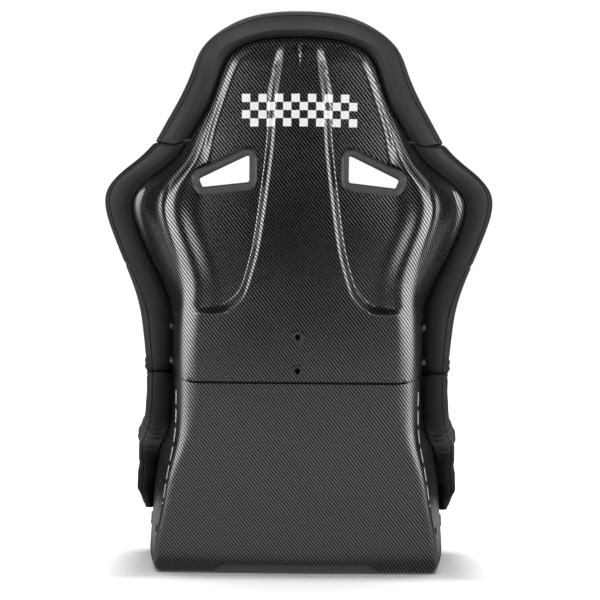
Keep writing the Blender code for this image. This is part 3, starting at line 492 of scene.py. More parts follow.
# ---------------------------------------------------------------- materials
class Shader:
    """A Principled material and short calls for the nodes that feed it."""

    def __init__(self, name, **values):
        self.material = bpy.data.materials.new(name)
        self.material.use_nodes = True
        self.tree = self.material.node_tree
        self.bsdf = self.tree.nodes["Principled BSDF"]
        for key, value in values.items():
            socket = self.bsdf.inputs[key.replace("_", " ")]
            socket.default_value = (*value, 1) if isinstance(value, tuple) else value

    def node(self, kind, **settings):
        made = self.tree.nodes.new("ShaderNode" + kind)
        for key, value in settings.items():
            setattr(made, key, value)
        return made

    def feed(self, socket, value):
        if isinstance(value, bpy.types.NodeSocket):
            self.tree.links.new(value, socket)
        elif isinstance(value, tuple) and len(value) == 3 and socket.type == "RGBA":
            socket.default_value = (*value, 1)
        else:
            socket.default_value = value

    def math(self, operation, *values):
        made = self.node("Math", operation=operation)
        for socket, value in zip(made.inputs, values):
            self.feed(socket, value)
        return made.outputs[0]

    def times(self, a, b):
        return self.math("MULTIPLY", a, b)

    def plus(self, a, b):
        return self.math("ADD", a, b)

    def mix(self, share, a, b):
        made = self.node("Mix", data_type="RGBA")
        self.feed(made.inputs["Factor"], share)
        self.feed(made.inputs["A"], a)
        self.feed(made.inputs["B"], b)
        return made.outputs["Result"]

    def ramp(self, value, low, high, to_low=0.0, to_high=1.0):
        made = self.node("MapRange", interpolation_type="SMOOTHSTEP")
        ends = {"From Min": low, "From Max": high, "To Min": to_low, "To Max": to_high}
        for key, number in {"Value": value, **ends}.items():
            self.feed(made.inputs[key], number)
        return made.outputs["Result"]

    def between(self, value, low, full, fade, end):
        """1 from full to fade, falling softly to 0 at low and end."""
        return self.times(self.ramp(value, low, full), self.ramp(value, fade, end, 1.0, 0.0))

    def place(self, scale=(1, 1, 1)):
        """The point on the piece, in metres, scaled."""
        where = self.node("TexCoord").outputs["Object"]
        made = self.node("Mapping")
        made.inputs["Scale"].default_value = scale
        self.feed(made.inputs["Vector"], where)
        return made.outputs["Vector"]

    def split(self, vector):
        made = self.node("SeparateXYZ")
        self.feed(made.inputs[0], vector)
        return tuple(made.outputs)

    def height(self):
        """How high the point is above the floor."""
        return self.split(self.place())[2]

    def toned(self, colour, share):
        """A colour made darker or lighter by a factor."""
        made = self.node("VectorMath", operation="SCALE")
        self.feed(made.inputs[0], colour)
        self.feed(made.inputs["Scale"], share)
        return made.outputs[0]

    def noise(self, scale, detail=2.0, roughness=0.5, at=None):
        made = self.node("TexNoise")
        self.feed(made.inputs["Vector"], at if at is not None else self.place())
        made.inputs["Scale"].default_value = scale
        made.inputs["Detail"].default_value = detail
        made.inputs["Roughness"].default_value = roughness
        return made.outputs["Fac"]

    def cells(self, scale):
        made = self.node("TexVoronoi", feature="F1")
        self.feed(made.inputs["Vector"], self.place())
        made.inputs["Scale"].default_value = scale
        return made.outputs["Distance"]

    def uv(self, layer="weave"):
        return self.split(self.node("UVMap", uv_map=layer).outputs[0])[:2]

    def bump(self, height, distance, strength=1.0):
        made = self.node("Bump")
        made.inputs["Strength"].default_value = strength
        made.inputs["Distance"].default_value = distance
        self.feed(made.inputs["Height"], height)
        self.feed(self.bsdf.inputs["Normal"], made.outputs[0])

    def set(self, key, value):
        self.feed(self.bsdf.inputs[key], value)

    def tint(self, value, dark, light, low=0.3, high=0.7):
        """Colours the piece from one tone to another as a value rises."""
        self.set("Base Color", self.mix(self.ramp(value, low, high), dark, light))


def twill(shader):
    """A 2/2 twill on the weave coordinates: where an upright tow shows, and how high the tow crowns."""
    u, v = shader.uv()
    column = shader.math("DIVIDE", u, -TOW_ACROSS)
    row = shader.math("DIVIDE", v, TOW_UP)
    i, j = shader.math("FLOOR", column), shader.math("FLOOR", row)
    fi, fj = shader.math("FRACT", column), shader.math("FRACT", row)
    order = shader.math("FLOORED_MODULO", shader.plus(i, j), 4.0)
    upright = shader.math("LESS_THAN", order, 1.5)
    lying = shader.math("SUBTRACT", 1.0, upright)
    along_up = shader.times(shader.plus(order, fj), 0.5)
    along_side = shader.times(shader.plus(shader.math("SUBTRACT", order, 2.0), fi), 0.5)

    def arch(x):
        return shader.math("SINE", shader.times(x, math.pi))

    up = shader.times(arch(along_up), shader.math("POWER", arch(fi), 0.6))
    side = shader.times(arch(along_side), shader.math("POWER", arch(fj), 0.6))
    crown = shader.plus(shader.times(upright, up), shader.times(lying, side))
    return upright, crown


def band_mask(shader):
    """The chequered band on the head, on the weave coordinates: 1 where it is white."""
    u, v = shader.uv()

    def inside(value, middle, half):
        off = shader.math("ABSOLUTE", shader.math("SUBTRACT", value, middle))
        return shader.math("LESS_THAN", off, half)

    zone = shader.times(inside(u, 0.0, BAND_HALF), inside(v, BAND_MIDDLE, BAND_HALF_HEIGHT))
    i = shader.math("FLOOR", shader.math("DIVIDE", shader.plus(u, BAND_HALF), CHECK))
    up = shader.math("SUBTRACT", v, BAND_MIDDLE - BAND_HALF_HEIGHT)
    j = shader.math("FLOOR", shader.math("DIVIDE", up, CHECK))
    odd = shader.math("FLOORED_MODULO", shader.plus(i, j), 2.0)
    return shader.times(zone, shader.math("LESS_THAN", odd, 0.5))


def stripe_mask(shader):
    """The broken stripe along the base's rear corner, on the crease coordinates: 1 where it is white."""
    off, height = shader.uv("crease")
    off = shader.math("SUBTRACT", off, STRIPE_OFF)
    wide = shader.math("LESS_THAN", shader.math("ABSOLUTE", off), STRIPE_HALF)
    dash = shader.math("LESS_THAN", shader.math("FLOORED_MODULO", height, STRIPE_PITCH), STRIPE_DASH)
    above = shader.math("GREATER_THAN", height, STRIPE_LOW)
    below = shader.math("LESS_THAN", height, STRIPE_HIGH)
    return shader.times(shader.times(wide, dash), shader.times(above, below))


def carbon_material(name, printed=None):
    """Clear-coated carbon twill. printed gives the mask of what is printed on it in white."""
    s = Shader(name, Roughness=0.34, Coat_Weight=0.30, Coat_Roughness=0.09, Coat_IOR=1.5)
    upright, crown = twill(s)
    drift = s.noise(9.0, 3.0)
    # Painted highlight and shade: each tow's colour is lighter at its crown and darker where it dips under the
    # crossing tows; drift adds random tone.
    light = s.times(s.ramp(crown, 0.0, 1.0, 0.45, 1.0), s.ramp(drift, 0.3, 0.7, 0.88, 1.12))
    bright = s.mix(light, (0.004, 0.004, 0.0045), (0.026, 0.0265, 0.027))
    dark = s.mix(light, (0.0004, 0.0004, 0.0005), (0.0018, 0.0018, 0.0020))
    # Painted light: the bright tows grow lighter above 0.40 m, 1.3 times as light from 0.60 m up.
    bright = s.toned(bright, s.ramp(s.height(), 0.40, 0.60, 1.0, 1.3))
    colour = s.mix(upright, dark, bright)
    if printed:
        colour = s.mix(printed(s), colour, (0.86, 0.86, 0.85))
    s.set("Base Color", colour)
    rough = s.ramp(drift, 0.25, 0.75, 0.26, 0.33)
    s.set("Roughness", s.times(rough, s.ramp(s.height(), 0.38, 0.58, 1.0, 0.66)))
    s.set("Specular IOR Level", s.ramp(upright, 0.0, 1.0, 0.03, 0.95))
    s.bump(crown, 0.00012, 0.35)
    return s.material


def leather_material(name, colour, lighter):
    """Satin leatherette with a fine pebbled grain, a little paler where it is rubbed, and with painted light:
    darker low down, lighter higher up and much lighter on the head.
    """
    s = Shader(name, Roughness=0.5, Sheen_Weight=0.04, Sheen_Roughness=0.5, Specular_IOR_Level=0.13)
    grain = s.cells(900.0)
    fine = s.noise(1800.0, 2.0)
    drift = s.noise(14.0, 4.0, 0.6)
    height = s.plus(s.times(grain, 0.8), s.times(fine, 0.35))
    # Painted light: the colour is scaled by height, 0.55 below 0.50 m, 0.95 at 0.74 m and up to 1.85 on top of
    # the head.
    tone = s.plus(s.ramp(s.height(), 0.50, 0.74, 0.55, 0.95), s.ramp(s.height(), 0.76, 0.85, 0.0, 0.9))
    s.set("Base Color", s.toned(s.mix(s.ramp(drift, 0.3, 0.75), colour, lighter), tone))
    s.set("Roughness", s.ramp(s.plus(drift, s.times(grain, 0.3)), 0.3, 0.9, 0.42, 0.58))
    s.bump(height, 0.00025, 0.5)
    return s.material


def woven_material(name, dark, light, scale, roughness=0.85, sheen=0.35, depth=0.0004):
    """Plain woven cloth: two crossing sets of threads, uneven in tone."""
    s = Shader(name, Roughness=roughness, Sheen_Weight=sheen, Sheen_Roughness=0.4, Specular_IOR_Level=0.2)
    s.bsdf.inputs["Sheen Tint"].default_value = (0.6, 0.6, 0.62, 1)
    x, y, z = s.split(s.place((scale, scale, scale)))

    def thread(value):
        return s.math("SINE", s.times(value, math.tau))

    cross = s.plus(thread(x), s.plus(thread(y), thread(z)))
    knit = s.times(thread(s.plus(x, z)), thread(s.math("SUBTRACT", y, z)))
    height = s.plus(s.times(cross, 0.25), s.times(knit, 0.35))
    fuzz = s.noise(600.0, 3.0)
    drift = s.noise(11.0, 3.0)
    tone = s.plus(s.ramp(height, -0.8, 0.8, 0.0, 0.7), s.times(s.plus(fuzz, drift), 0.25))
    s.set("Base Color", s.mix(tone, dark, light))
    s.bump(s.plus(height, s.times(fuzz, 0.5)), depth, 0.6)
    return s.material


def satin_material(name):
    """Thin black satin cloth: almost no weave, a soft sheen."""
    s = Shader(name, Roughness=0.5, Sheen_Weight=0.08, Sheen_Roughness=0.35, Specular_IOR_Level=0.15)
    thread = s.noise(2600.0, 1.0, at=s.place((1, 1, 0.18)))
    drift = s.noise(18.0, 3.0)
    s.tint(drift, (0.006, 0.006, 0.0065), (0.011, 0.011, 0.012))
    s.set("Roughness", s.ramp(thread, 0.3, 0.7, 0.42, 0.60))
    s.bump(thread, 0.00012, 0.3)
    return s.material


def plastic_material(name):
    """Matte moulded plastic with a spark-eroded texture."""
    s = Shader(name, Roughness=0.55, Specular_IOR_Level=0.45)
    grain = s.noise(1500.0, 3.0, 0.6)
    drift = s.noise(30.0, 2.0)
    s.tint(drift, (0.013, 0.0135, 0.0145), (0.018, 0.0185, 0.020))
    s.set("Roughness", s.ramp(grain, 0.3, 0.7, 0.46, 0.64))
    s.bump(grain, 0.00010, 0.5)
    return s.material


def metal_material(name, dark, light, roughness, metallic, stretch):
    """Plated or blackened metal, brushed along one axis, with uneven tone."""
    s = Shader(name, Metallic=metallic, Specular_IOR_Level=0.5)
    brush = s.noise(900.0, 2.0, at=s.place(stretch))
    drift = s.noise(60.0, 3.0)
    s.tint(drift, dark, light)
    s.set("Roughness", s.ramp(brush, 0.3, 0.7, roughness - 0.08, roughness + 0.10))
    s.bump(brush, 0.00005, 0.4)
    return s.material


def plywood_material(name):
    s = Shader(name, Roughness=0.75)
    where = s.place((1, 14, 14))
    grain = s.noise(12.0, 6.0, 0.65, at=where)
    s.tint(grain, (0.34, 0.22, 0.11), (0.20, 0.12, 0.055), 0.35, 0.65)
    s.set("Roughness", s.ramp(grain, 0.3, 0.7, 0.65, 0.85))
    s.bump(grain, 0.0003, 0.5)
    return s.material


CARBON = carbon_material("carbon_twill", band_mask)
CARBON_BASE = carbon_material("carbon_twill_base", stripe_mask)
CARBON_PLAIN = carbon_material("carbon_twill_plain")
LEATHER = leather_material("leatherette", (0.019, 0.0195, 0.021), (0.025, 0.0255, 0.028))
LEATHER_STRIP = leather_material("leatherette_strip", (0.026, 0.028, 0.0285), (0.034, 0.036, 0.0365))
# Black satin cloth, also used on the rolls' rear lips as painted shade of the crevice behind the shell.
SATIN_AND_CREVICE_SHADE = satin_material("satin")
SEAM = woven_material("seam", (0.002, 0.002, 0.002), (0.006, 0.006, 0.006), 1500.0, 0.9, 0.05, 0.0001)
COVER_FINISHES = [LEATHER, SATIN_AND_CREVICE_SHADE, LEATHER_STRIP, SEAM]
FABRIC = woven_material("woven_cover", (0.006, 0.006, 0.007), (0.030, 0.030, 0.033), 420.0)
PIPING = leather_material("piping", (0.045, 0.046, 0.050), (0.060, 0.061, 0.066))
PLASTIC = plastic_material("moulded_plastic")
UPRIGHT = (1, 1, 6)  # how metal is brushed
STEEL = metal_material("black_steel", (0.020, 0.020, 0.022), (0.035, 0.035, 0.038), 0.42, 0.7, UPRIGHT)
# Painted shade: the rear inserts are steel painted near black and without metal shine, for the shade down their
# holes.
SHADED_INSERT_STEEL = metal_material("insert_steel_painted_shade", (0.0015,) * 3, (0.004, 0.004, 0.0045), 0.55, 0.0, UPRIGHT)
ZINC = metal_material("zinc_plate", (0.42, 0.42, 0.43), (0.52, 0.52, 0.53), 0.34, 1.0, (1, 1, 8))
BOARD = plywood_material("plywood")
HOOK_TAPE = woven_material("hook_tape", (0.004, 0.004, 0.004), (0.025, 0.025, 0.027), 700.0, 0.95, 0.5, 0.0008)


# ---------------------------------------------------------------- the backrest shell
def weave_row(rib, columns):
    """Weave coordinates along a rib, rolled out flat: distance across and distance up the lean."""
    return [(u * rib.side.x, (rib.centre.z + u * rib.side.z) / LEAN) for u in columns]


def shell_rows():
    return joined_steps((0, 1.6, 3.0, TOP), (16, 32, 84))


def slot_prisms():
    """Cutters that open both harness slots from front to back."""
    bm = bmesh.new()
    corners = [Vector(c) * MM for c in SLOT]
    middle = sum(corners, Vector((0, 0))) / len(corners)
    outline = [c + (c - middle).normalized() * SLOT_OUTSET for c in corners]
    for sign in (1, -1):
        rings = [[bm.verts.new((sign * p.x, y, p.y)) for p in outline] for y in (0.05, 0.40)]
        for k in range(len(outline)):
            m = (k + 1) % len(outline)
            bm.faces.new((rings[0][k], rings[0][m], rings[1][m], rings[1][k]))
        bm.faces.new(rings[0])
        bm.faces.new(rings[1])
    return new_object("slot_cutter", closed_mesh(bm, bpy.data.meshes.new("slot_cutter")), [])


def insert_holes():
    """Cutters for the two threaded inserts on the centre line, square to the rear face."""
    bm = bmesh.new()
    for level in ("upper", "lower"):
        low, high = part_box(f"rear_insert_{level}")
        centre = (low + high) / 2
        slope = (rear_y(centre.z + 0.01) - rear_y(centre.z - 0.01)) / 0.02
        turn = Vector((0, 1, -slope)).to_track_quat("Z", "Y").to_matrix().to_4x4()
        at = Matrix.Translation(centre) @ turn
        ends = {"radius1": INSERT_HOLE, "radius2": INSERT_HOLE}
        bmesh.ops.create_cone(bm, cap_ends=True, segments=32, depth=0.030, matrix=at, **ends)
    return new_object("insert_cutter", closed_mesh(bm, bpy.data.meshes.new("insert_cutter")), [])


def make_back_shell():
    outer, inner, weave = [], [], []
    for t in shell_rows():
        rib = Rib(min(t, TOP))
        columns = shell_columns(rib)
        outer.append([shell_point(rib, u) for u in columns])
        inner.append([shell_point(rib, u, WALL) for u in columns])
        weave.append(weave_row(rib, columns))
    outer, inner, weave = (across(to_array(rows)) for rows in (outer, inner, weave))
    shell = slab("back_shell_twill", outer, inner, [CARBON], uv=weave, sharp=50)
    add_bevel(shell, SHELL_BEVEL, 3, 60)
    apply_modifiers(shell)
    for cutter in (slot_prisms(), insert_holes()):
        cut(shell, cutter)
    shell.data.shade_smooth()
    shell.data.set_sharp_from_angle(angle=math.radians(55))
    show(shell, "seat", "carbon", "back_shell")


make_back_shell()


# ---------------------------------------------------------------- the base shell
base_widths = spline([w[0] * MM for w in BASE_WIDTHS], [[v * MM for v in w[1:]] for w in BASE_WIDTHS])
rim_line = spline(range(len(BASE_RIM)), [(y * MM, z * MM) for y, z in BASE_RIM])
REAR_XS = joined_steps((0, NOTCH_HALF, NOTCH_HALF + NOTCH_SLOPE), (10, 7))
CORNER_STEPS = 10
CREASE_COLUMN = len(REAR_XS) + 2 + 9  # late on the rear corner
RIM_STATIONS = steps(0, len(BASE_RIM) - 1, 44)


def front_y(z):
    """The front wall leans out a little over its height."""
    return BASE_FRONT + 0.012 * (1 - smooth(z / 0.1))


def side_ends(z):
    """Where the side wall's outer face leaves the rear corner and meets the front one."""
    rear, front, radius = base_widths(min(z, WIDTHS_TOP))
    start = Vector((rear, face_y(rear, z, radius * (1 - math.cos(REAR_TURN))), z))
    return start, Vector((front, front_y(z) + FRONT_RADIUS, z))


def side_share(y, z):
    """How far along the side wall a place is, from 0 at the rear corner to 1 at the front one."""
    start, end = side_ends(z)
    return (start.y - y) / (start.y - end.y)


def notch(x):
    """Height of the base's lower edge at a distance from its middle."""
    return NOTCH_HEIGHT * (1 - smooth((x - NOTCH_HALF) / NOTCH_SLOPE))


def base_columns():
    """The outline's columns, as (part, place on it, height of the rim, height of the lower edge)."""
    columns = [("rear", x, BASE_TOP, notch(x)) for x in REAR_XS]
    columns += [("rear flat", f, BASE_TOP, 0.0) for f in (0.35, 0.7)]
    for k in range(CORNER_STEPS + 1):
        f = k / CORNER_STEPS
        columns.append(("rear corner", f, BASE_TOP + SPLIT_RISE * smooth(f), 0.0))
    hip = side_share(*rim_line(0))
    columns += [("side", hip * f, BASE_TOP + SPLIT_RISE, 0.0) for f in (0.2, 0.4, 0.6, 0.8)]
    columns += [("side", side_share(*rim_line(k)), rim_line(k)[1], 0.0) for k in RIM_STATIONS[:-1]]
    low = rim_line(RIM_STATIONS[-1])[1]
    for k in range(CORNER_STEPS + 1):
        f = k / CORNER_STEPS
        columns.append(("front corner", f, low + (FRONT_LIP - low) * f, 0.0))
    columns += [("front", x, FRONT_LIP, notch(x)) for x in REAR_XS[::-1]]
    return columns


def base_point(part, f, z, inward):
    """A point of the base's outline at a height, the distance inward into its wall."""
    rear, front, radius = base_widths(min(z, WIDTHS_TOP))
    low = 1 - min(1, z / BOTTOM_ROUND)
    inset = inward + BOTTOM_INSET * (1 - math.sqrt(max(0.0, 1 - low**2)))
    centre = rear - radius * math.sin(REAR_TURN)
    nose = front_y(z)
    if part == "rear":
        return Vector((f, face_y(f, z, inset), z))
    if part == "rear flat":
        x = REAR_XS[-1] + (centre - REAR_XS[-1]) * f
        return Vector((x, face_y(x, z, inset), z))
    if part == "rear corner":
        a = REAR_TURN * f
        x = centre + (radius - inset) * math.sin(a)
        return Vector((x, face_y(x, z, radius - (radius - inset) * math.cos(a)), z))
    if part == "side":
        start = base_point("rear corner", 1, z, inward)
        end = Vector((front - inset, nose + FRONT_RADIUS, z))
        return start.lerp(end, f) + Vector((SIDE_BOW * math.sin(math.pi * f), 0, 0))
    if part == "front corner":
        a = math.pi / 2 * f
        reach = FRONT_RADIUS - inset
        x = front - FRONT_RADIUS + reach * math.cos(a)
        return Vector((x, nose + FRONT_RADIUS - reach * math.sin(a), z))
    return Vector((f, nose + inset, z))


def base_sheet(inward, floor, fractions):
    """Both sides of the base's wall, from its lower edge to the rim."""
    rows = []
    for f in fractions:
        row = []
        for part, place, top, bottom in base_columns():
            low = floor if floor else bottom
            row.append(base_point(part, place, low + (top - low) * f, inward))
        rows.append(row)
    return to_array(rows)


def make_base_shell():
    low_steps = [0.004 * k * k / 9 for k in range(10)]
    fractions = low_steps + joined_steps((0.045, 0.12, 1.0), (6, 40))
    outer = base_sheet(0.0, 0.0, fractions)
    inner = base_sheet(WALL, PAN, fractions)
    rows, half = outer.shape[:2]
    bm = bmesh.new()
    layers = [bm.loops.layers.uv.new(key) for key in ("weave", "crease")]
    runs = np.cumsum(np.linalg.norm(np.diff(outer, axis=1), axis=2), axis=1)
    reach = np.concatenate([np.zeros((rows, 1)), runs], axis=1)
    crease = reach[:, [CREASE_COLUMN]]
    weave = {}
    rings = []
    for sheet in (outer, inner):
        for sign in (1, -1):
            verts = []
            for i in range(rows):
                row = []
                for j in range(half):
                    x, y, z = sheet[i, j]
                    if sign < 0 and j in (0, half - 1):
                        row.append(rings[-1][i][j])
                        continue
                    v = bm.verts.new((sign * x, y, z))
                    weave[v] = ((sign * reach[i, j], z / LEAN), (reach[i, j] - crease[i, 0], z))
                    row.append(v)
                verts.append(row)
            rings.append(verts)
    for verts in rings:
        for low, high in zip(verts, verts[1:]):
            for j in range(half - 1):
                bm.faces.new((low[j], low[j + 1], high[j + 1], high[j]))
    rear_count = len(REAR_XS)
    for k in (0, 1):
        out, into = rings[k], rings[2 + k]
        for j in range(half - 1):
            bm.faces.new((out[-1][j], out[-1][j + 1], into[-1][j + 1], into[-1][j]))
        for j in range(rear_count - 1):
            bm.faces.new((out[0][j], out[0][j + 1], out[0][half - 2 - j], out[0][half - 1 - j]))
        bm.faces.new(out[0][rear_count - 1 : half - rear_count + 1])
    bm.faces.new(rings[2][0] + rings[3][0][half - 2 : 0 : -1])
    for face in bm.faces:
        for loop in face.loops:
            for layer, place in zip(layers, weave[loop.vert]):
                loop[layer].uv = place
    mesh = closed_mesh(bm, bpy.data.meshes.new("base_shell_twill"))
    shell = new_object("base_shell_twill", mesh, [CARBON_BASE], 50)
    add_bevel(shell, SHELL_BEVEL, 3, 60)
    apply_modifiers(shell)
    show(shell, "seat", "carbon", "base_shell")


make_base_shell()


# ---------------------------------------------------------------- edge rolls
def lining(rib, u):
    """How far the back of a pad stays from the shell's outer face."""
    clear = WALL + GAP + POCKET_DEPTH * smooth((rib.flat + 0.016 - u) / 0.012)
    wing = smooth((u - rib.flat - 0.2 * rib.arc) / 0.02)
    clear += 0.0050 * wing * smooth((rib.t - 2.6) / 0.8) * smooth((6.9 - rib.t) / 0.8)
    clear += 0.0100 * wing * smooth((2.9 - rib.t) / 0.5)
    return clear


def roll_path(width, front, tangent, normal, inner):
    """Controls of an edge roll about a rim at (0, 0), from the inner face over the crest to the rear lip."""
    t, n = Vector(tangent), Vector(normal)
    return [
        n * inner - t * 0.012,
        Vector((-0.42 * width - 0.30 * inner, 0.62 * front)),
        Vector((-0.20 * width, 0.97 * front)),
        Vector((0.38 * width, 0.94 * front)),
        Vector((0.86 * width, 0.56 * front)),
        Vector((width, 0.13 * front)),
        Vector((0.90 * width, -0.55 * ROLL_BACK)),
        Vector((0.50 * width, -ROLL_BACK)),
        Vector((0.13 * width, -0.66 * ROLL_BACK)),
        -n * 0.0032 - t * 0.0046,
    ]


def rim_path(tangent, normal, wall):
    """The matching points close round the wall's rim, with clearance."""
    t, n = Vector(tangent), Vector(normal)
    tip = t * 0.0020
    inner = n * (wall + 0.0012)
    outer = -n * 0.0018
    path = [inner - t * 0.004, inner + tip]
    path += [inner.lerp(outer, f) + tip for f in (0.25, 0.5, 0.75, 1.0)]
    path += [outer + t * (0.0002 - 0.001 * k) for k in range(5)]
    return path


ROLL_START = 3  # controls before the roll's own
WIDEST = ROLL_START + 5
LAST = ROLL_START + 9


def seam_place(curve, inset):
    """Where on a section's curve the cover band's seam lies, the inset inside its widest point."""
    reach = curve(WIDEST)[0]
    low, high = float(WIDEST), WIDEST + 2.0
    for _ in range(24):
        mid = (low + high) / 2
        if reach - curve(mid)[0] < inset:
            low = mid
        else:
            high = mid
    return low


def roll_places(seam):
    """Places along a section's curve: even, and closer round the seam."""
    gap = 0.30
    before = joined_steps((0, WIDEST - 2, seam - gap), (22, 22))
    near = steps(seam - gap, seam + gap, 14)[1:]
    return before + near + steps(seam + gap, LAST, 14)[1:]


SEAM_COLUMN = 22 + 22 + 7
CREVICE_SHADE_COLUMN = SEAM_COLUMN + 7 + 6  # from here on the cover is painted black as painted shade of the crevice behind the shell's rim
CLOTH_COLUMN = 34  # the outer band starts here, on cloth and on the thighs
STRIP_COLUMN = 36  # and here, on the leatherette strip
SIDE_CLOTH_FROM = 3.35  # rib above which the side bolster's band is cloth
THIGH_CLOTH_FROM = 3.3  # rim station past which the thigh bolster's outside is cloth
THIGH_CLOTH_COLUMN = 24
SEAM_DEPTH = 0.0013
END_DEPTH = 0.0016  # how far a cover is rolled in at the head seam
SEAM_WIDTH = 1.3  # in columns


def bell(x, width):
    return math.exp(-((x / width) ** 2))


def cover_zones(front):
    """The finish of each quad of a roll's cover: 0 leatherette, 1 black cloth, also put on the rear lip as
    painted shade of the crevice, 2 outer strip, 3 seam.
    """
    rows, columns = front.shape[:2]
    zones = np.zeros((rows - 1, columns - 1), int)
    # Painted shade: the rear lip into the crevice behind the shell's rim gets the black cloth.
    zones[:, CREVICE_SHADE_COLUMN:] = 1
    return zones


def seam_relief(front):
    """A roll's cover before its folds: flat, with the groove of its sewn seam."""
    rows, columns = front.shape[:2]
    off = np.arange(columns) - SEAM_COLUMN
    return np.tile(-SEAM_DEPTH * np.exp(-((off / SEAM_WIDTH) ** 2)), (rows, 1))


def raised(front, back, relief):
    """A front sheet moved out along its normals."""
    return front + normals_of(front, back) * relief[..., None]


def roll_cover(name, node, front, back, zones):
    """A finished cover of an edge roll, with its seam."""
    zones[:, SEAM_COLUMN - 1 : SEAM_COLUMN + 1] = 3
    made = slab(name, front, back, COVER_FINISHES, zones=zones, sharp=60)
    show(made, "seat", "leather", node)


def cover_pair(kind, front, back, zones):
    for side, sign in SIDES:
        a, b = (front, back) if sign > 0 else (swapped(front), swapped(back))
        roll_cover(f"{kind}_cover_{side}", f"{kind}_{side}", a, b, zones)


def band_inset(t):
    """How far inside the outline the band's seam lies, round the backrest."""
    narrow = bell(t - 10.9, 0.5)
    wide = smooth((3.4 - t) / 1.6)
    return BAND_SEAM * (1 - 0.55 * narrow) + 0.0035 * wide


def lined(rib, u):
    """The place (s, d) on a pad's back at the distance u along the shell's section."""
    s, d, angle = rib.section(u)
    clear = lining(rib, u)
    return s - clear * math.sin(angle), d + clear * math.cos(angle)


def round_rim(rib, front, inner):
    """Controls of the roll about the shell's rim, and of the pad's back close round it."""
    rim = Vector((rib.length, rib.depth))
    tangent = (math.cos(rib.turn), math.sin(rib.turn))
    normal = (-tangent[1], tangent[0])
    roll = [rim + p for p in roll_path(rib.roll, front, tangent, normal, inner)]
    return roll, [rim + p for p in rim_path(tangent, normal, lining(rib, rib.total))]


def rolled(controls, backs, inset):
    """A section's dense front curve and the back that matches it."""
    curve = spline(range(len(controls)), [tuple(p) for p in controls])
    places = roll_places(seam_place(curve, inset))
    return np.array([curve(p) for p in places]), resampled(backs, len(places))


def bolster_section(rib):
    """Front and back curves of a side bolster, in (s, d) of the rib."""
    seam = SEAM_LINE(rib.t) + SEAM_GAP / 2
    base = max(rib.flat, seam + 0.006)
    bend = rib.flat + rib.arc
    backs = []
    for i, u in enumerate((seam, 0.5 * (seam + base), 0.5 * (base + bend), bend, rib.total - 0.010)):
        s, d = lined(rib, u)
        backs.append(Vector((max(s, seam + 0.002 * i), d)))
    roll, rim = round_rim(rib, ROLL_FRONT, ROLL_INNER)
    start = Vector((seam, PAD_DEPTH - 0.004))
    lift = Vector((seam + 0.008, PAD_DEPTH + 0.003))
    rise = lift.lerp(roll[0], 0.45) + Vector((0.006, -0.006))
    return rolled([start, lift, rise] + roll, backs + rim, band_inset(rib.t))


def head_section(rib):
    """Front and back curves of the head pad, from the centre line, in (s, d) of the rib."""
    far = max(rib.flat, 0.018)
    backs = [Vector(lined(rib, u)) for u in (0, 0.35 * far, 0.7 * far, far, rib.total - 0.007)]
    roll, rim = round_rim(rib, HEAD_FRONT, HEAD_INNER)
    reach = roll[0].x
    flat = PAD_DEPTH + 0.004
    first = [Vector((0, flat)), Vector((0.36 * reach, flat)), Vector((0.74 * reach, flat + 0.001))]
    return rolled(first + roll, backs + rim, band_inset(rib.t))


def seam_drop(s, length):
    """The head seam drops where it crosses the edge roll: the change in rib number."""
    return -0.40 * smooth((s / length - 0.90) / 0.20)


SECTIONS = {}


def section_at(section, t):
    """A section and its rib at a rounded rib number, worked out once."""
    key = (section.__name__, round(t, 3))
    if key not in SECTIONS:
        rib = Rib(key[1])
        SECTIONS[key] = (rib, *section(rib))
    return SECTIONS[key]


def shifted_row(section, t, share):
    """A row of pad points on rib t, moved along the ribs by a share of the seam's drop towards the rim."""
    rib, fronts, backs = section_at(section, t)
    row = ([], [])
    for i in range(len(fronts)):
        for side, points in enumerate((fronts, backs)):
            moved = t + share * seam_drop(points[i][0], rib.length)
            other, *sheets = section_at(section, moved)
            row[side].append(other.place(*sheets[side][i]))
    return row


def fold_noise(point, scale, stretch=(1, 1, 1), seed=0.0):
    """Smooth noise in -1..1 at a point, with features about scale metres long."""
    q = Vector((point[k] * stretch[k] / scale + seed for k in range(3)))
    return noise.noise(q)


def bolster_relief(front, ts):
    """Seam groove, rolled ends and creases of a side bolster's cover."""
    relief = seam_relief(front)
    column = np.arange(front.shape[1])
    outside = np.clip((column - 30) / 12, 0, 1)
    strip = np.clip((column - CLOTH_COLUMN) / 6, 0, 1) * (column < SEAM_COLUMN)
    for i, t in enumerate(ts):
        from_low = (t - ts[0]) * RIB_SPACING
        from_high = (ts[-1] - t) * RIB_SPACING
        relief[i] -= END_DEPTH * bell(from_high, 0.003)
        relief[i] -= 0.0012 * bell(from_low, 0.002)
        relief[i] -= 0.0006 * bell(from_low - 0.007, 0.0025)
        gather = bell(max(0.0, abs(from_low - 0.016) - 0.009), 0.006)
        for j in column:
            p = front[i, j]
            relief[i, j] += 0.0011 * fold_noise(p, 0.045, (1, 1, 0.6), 3.0) * outside[j]
            if gather > 0.02 and 26 < j < SEAM_COLUMN + 2:
                relief[i, j] += 0.0040 * gather * fold_noise(p, 0.0070, (0.35, 0.35, 1), 8.0)
        relief[i] -= 0.0022 * bell(t - SIDE_CLOTH_FROM, 0.05) * strip
    return relief


def make_side_bolsters():
    ts = joined_steps((-0.06, 0.6, HEAD_SEAM - SEAM_STEP), (26, 120))
    rows = [shifted_row(bolster_section, t, smooth((t - 5.5) / 2)) for t in ts]
    front, back = (to_array(sheet) for sheet in zip(*rows))
    front = raised(front, back, bolster_relief(front, ts))
    zones = cover_zones(front)
    for i, t in enumerate(ts[:-1]):
        if SIDE_CLOTH_FROM < t:
            zones[i, CLOTH_COLUMN:SEAM_COLUMN] = 1
        else:
            zones[i, STRIP_COLUMN:SEAM_COLUMN] = 2
    cover_pair("side_bolster", front, back, zones)


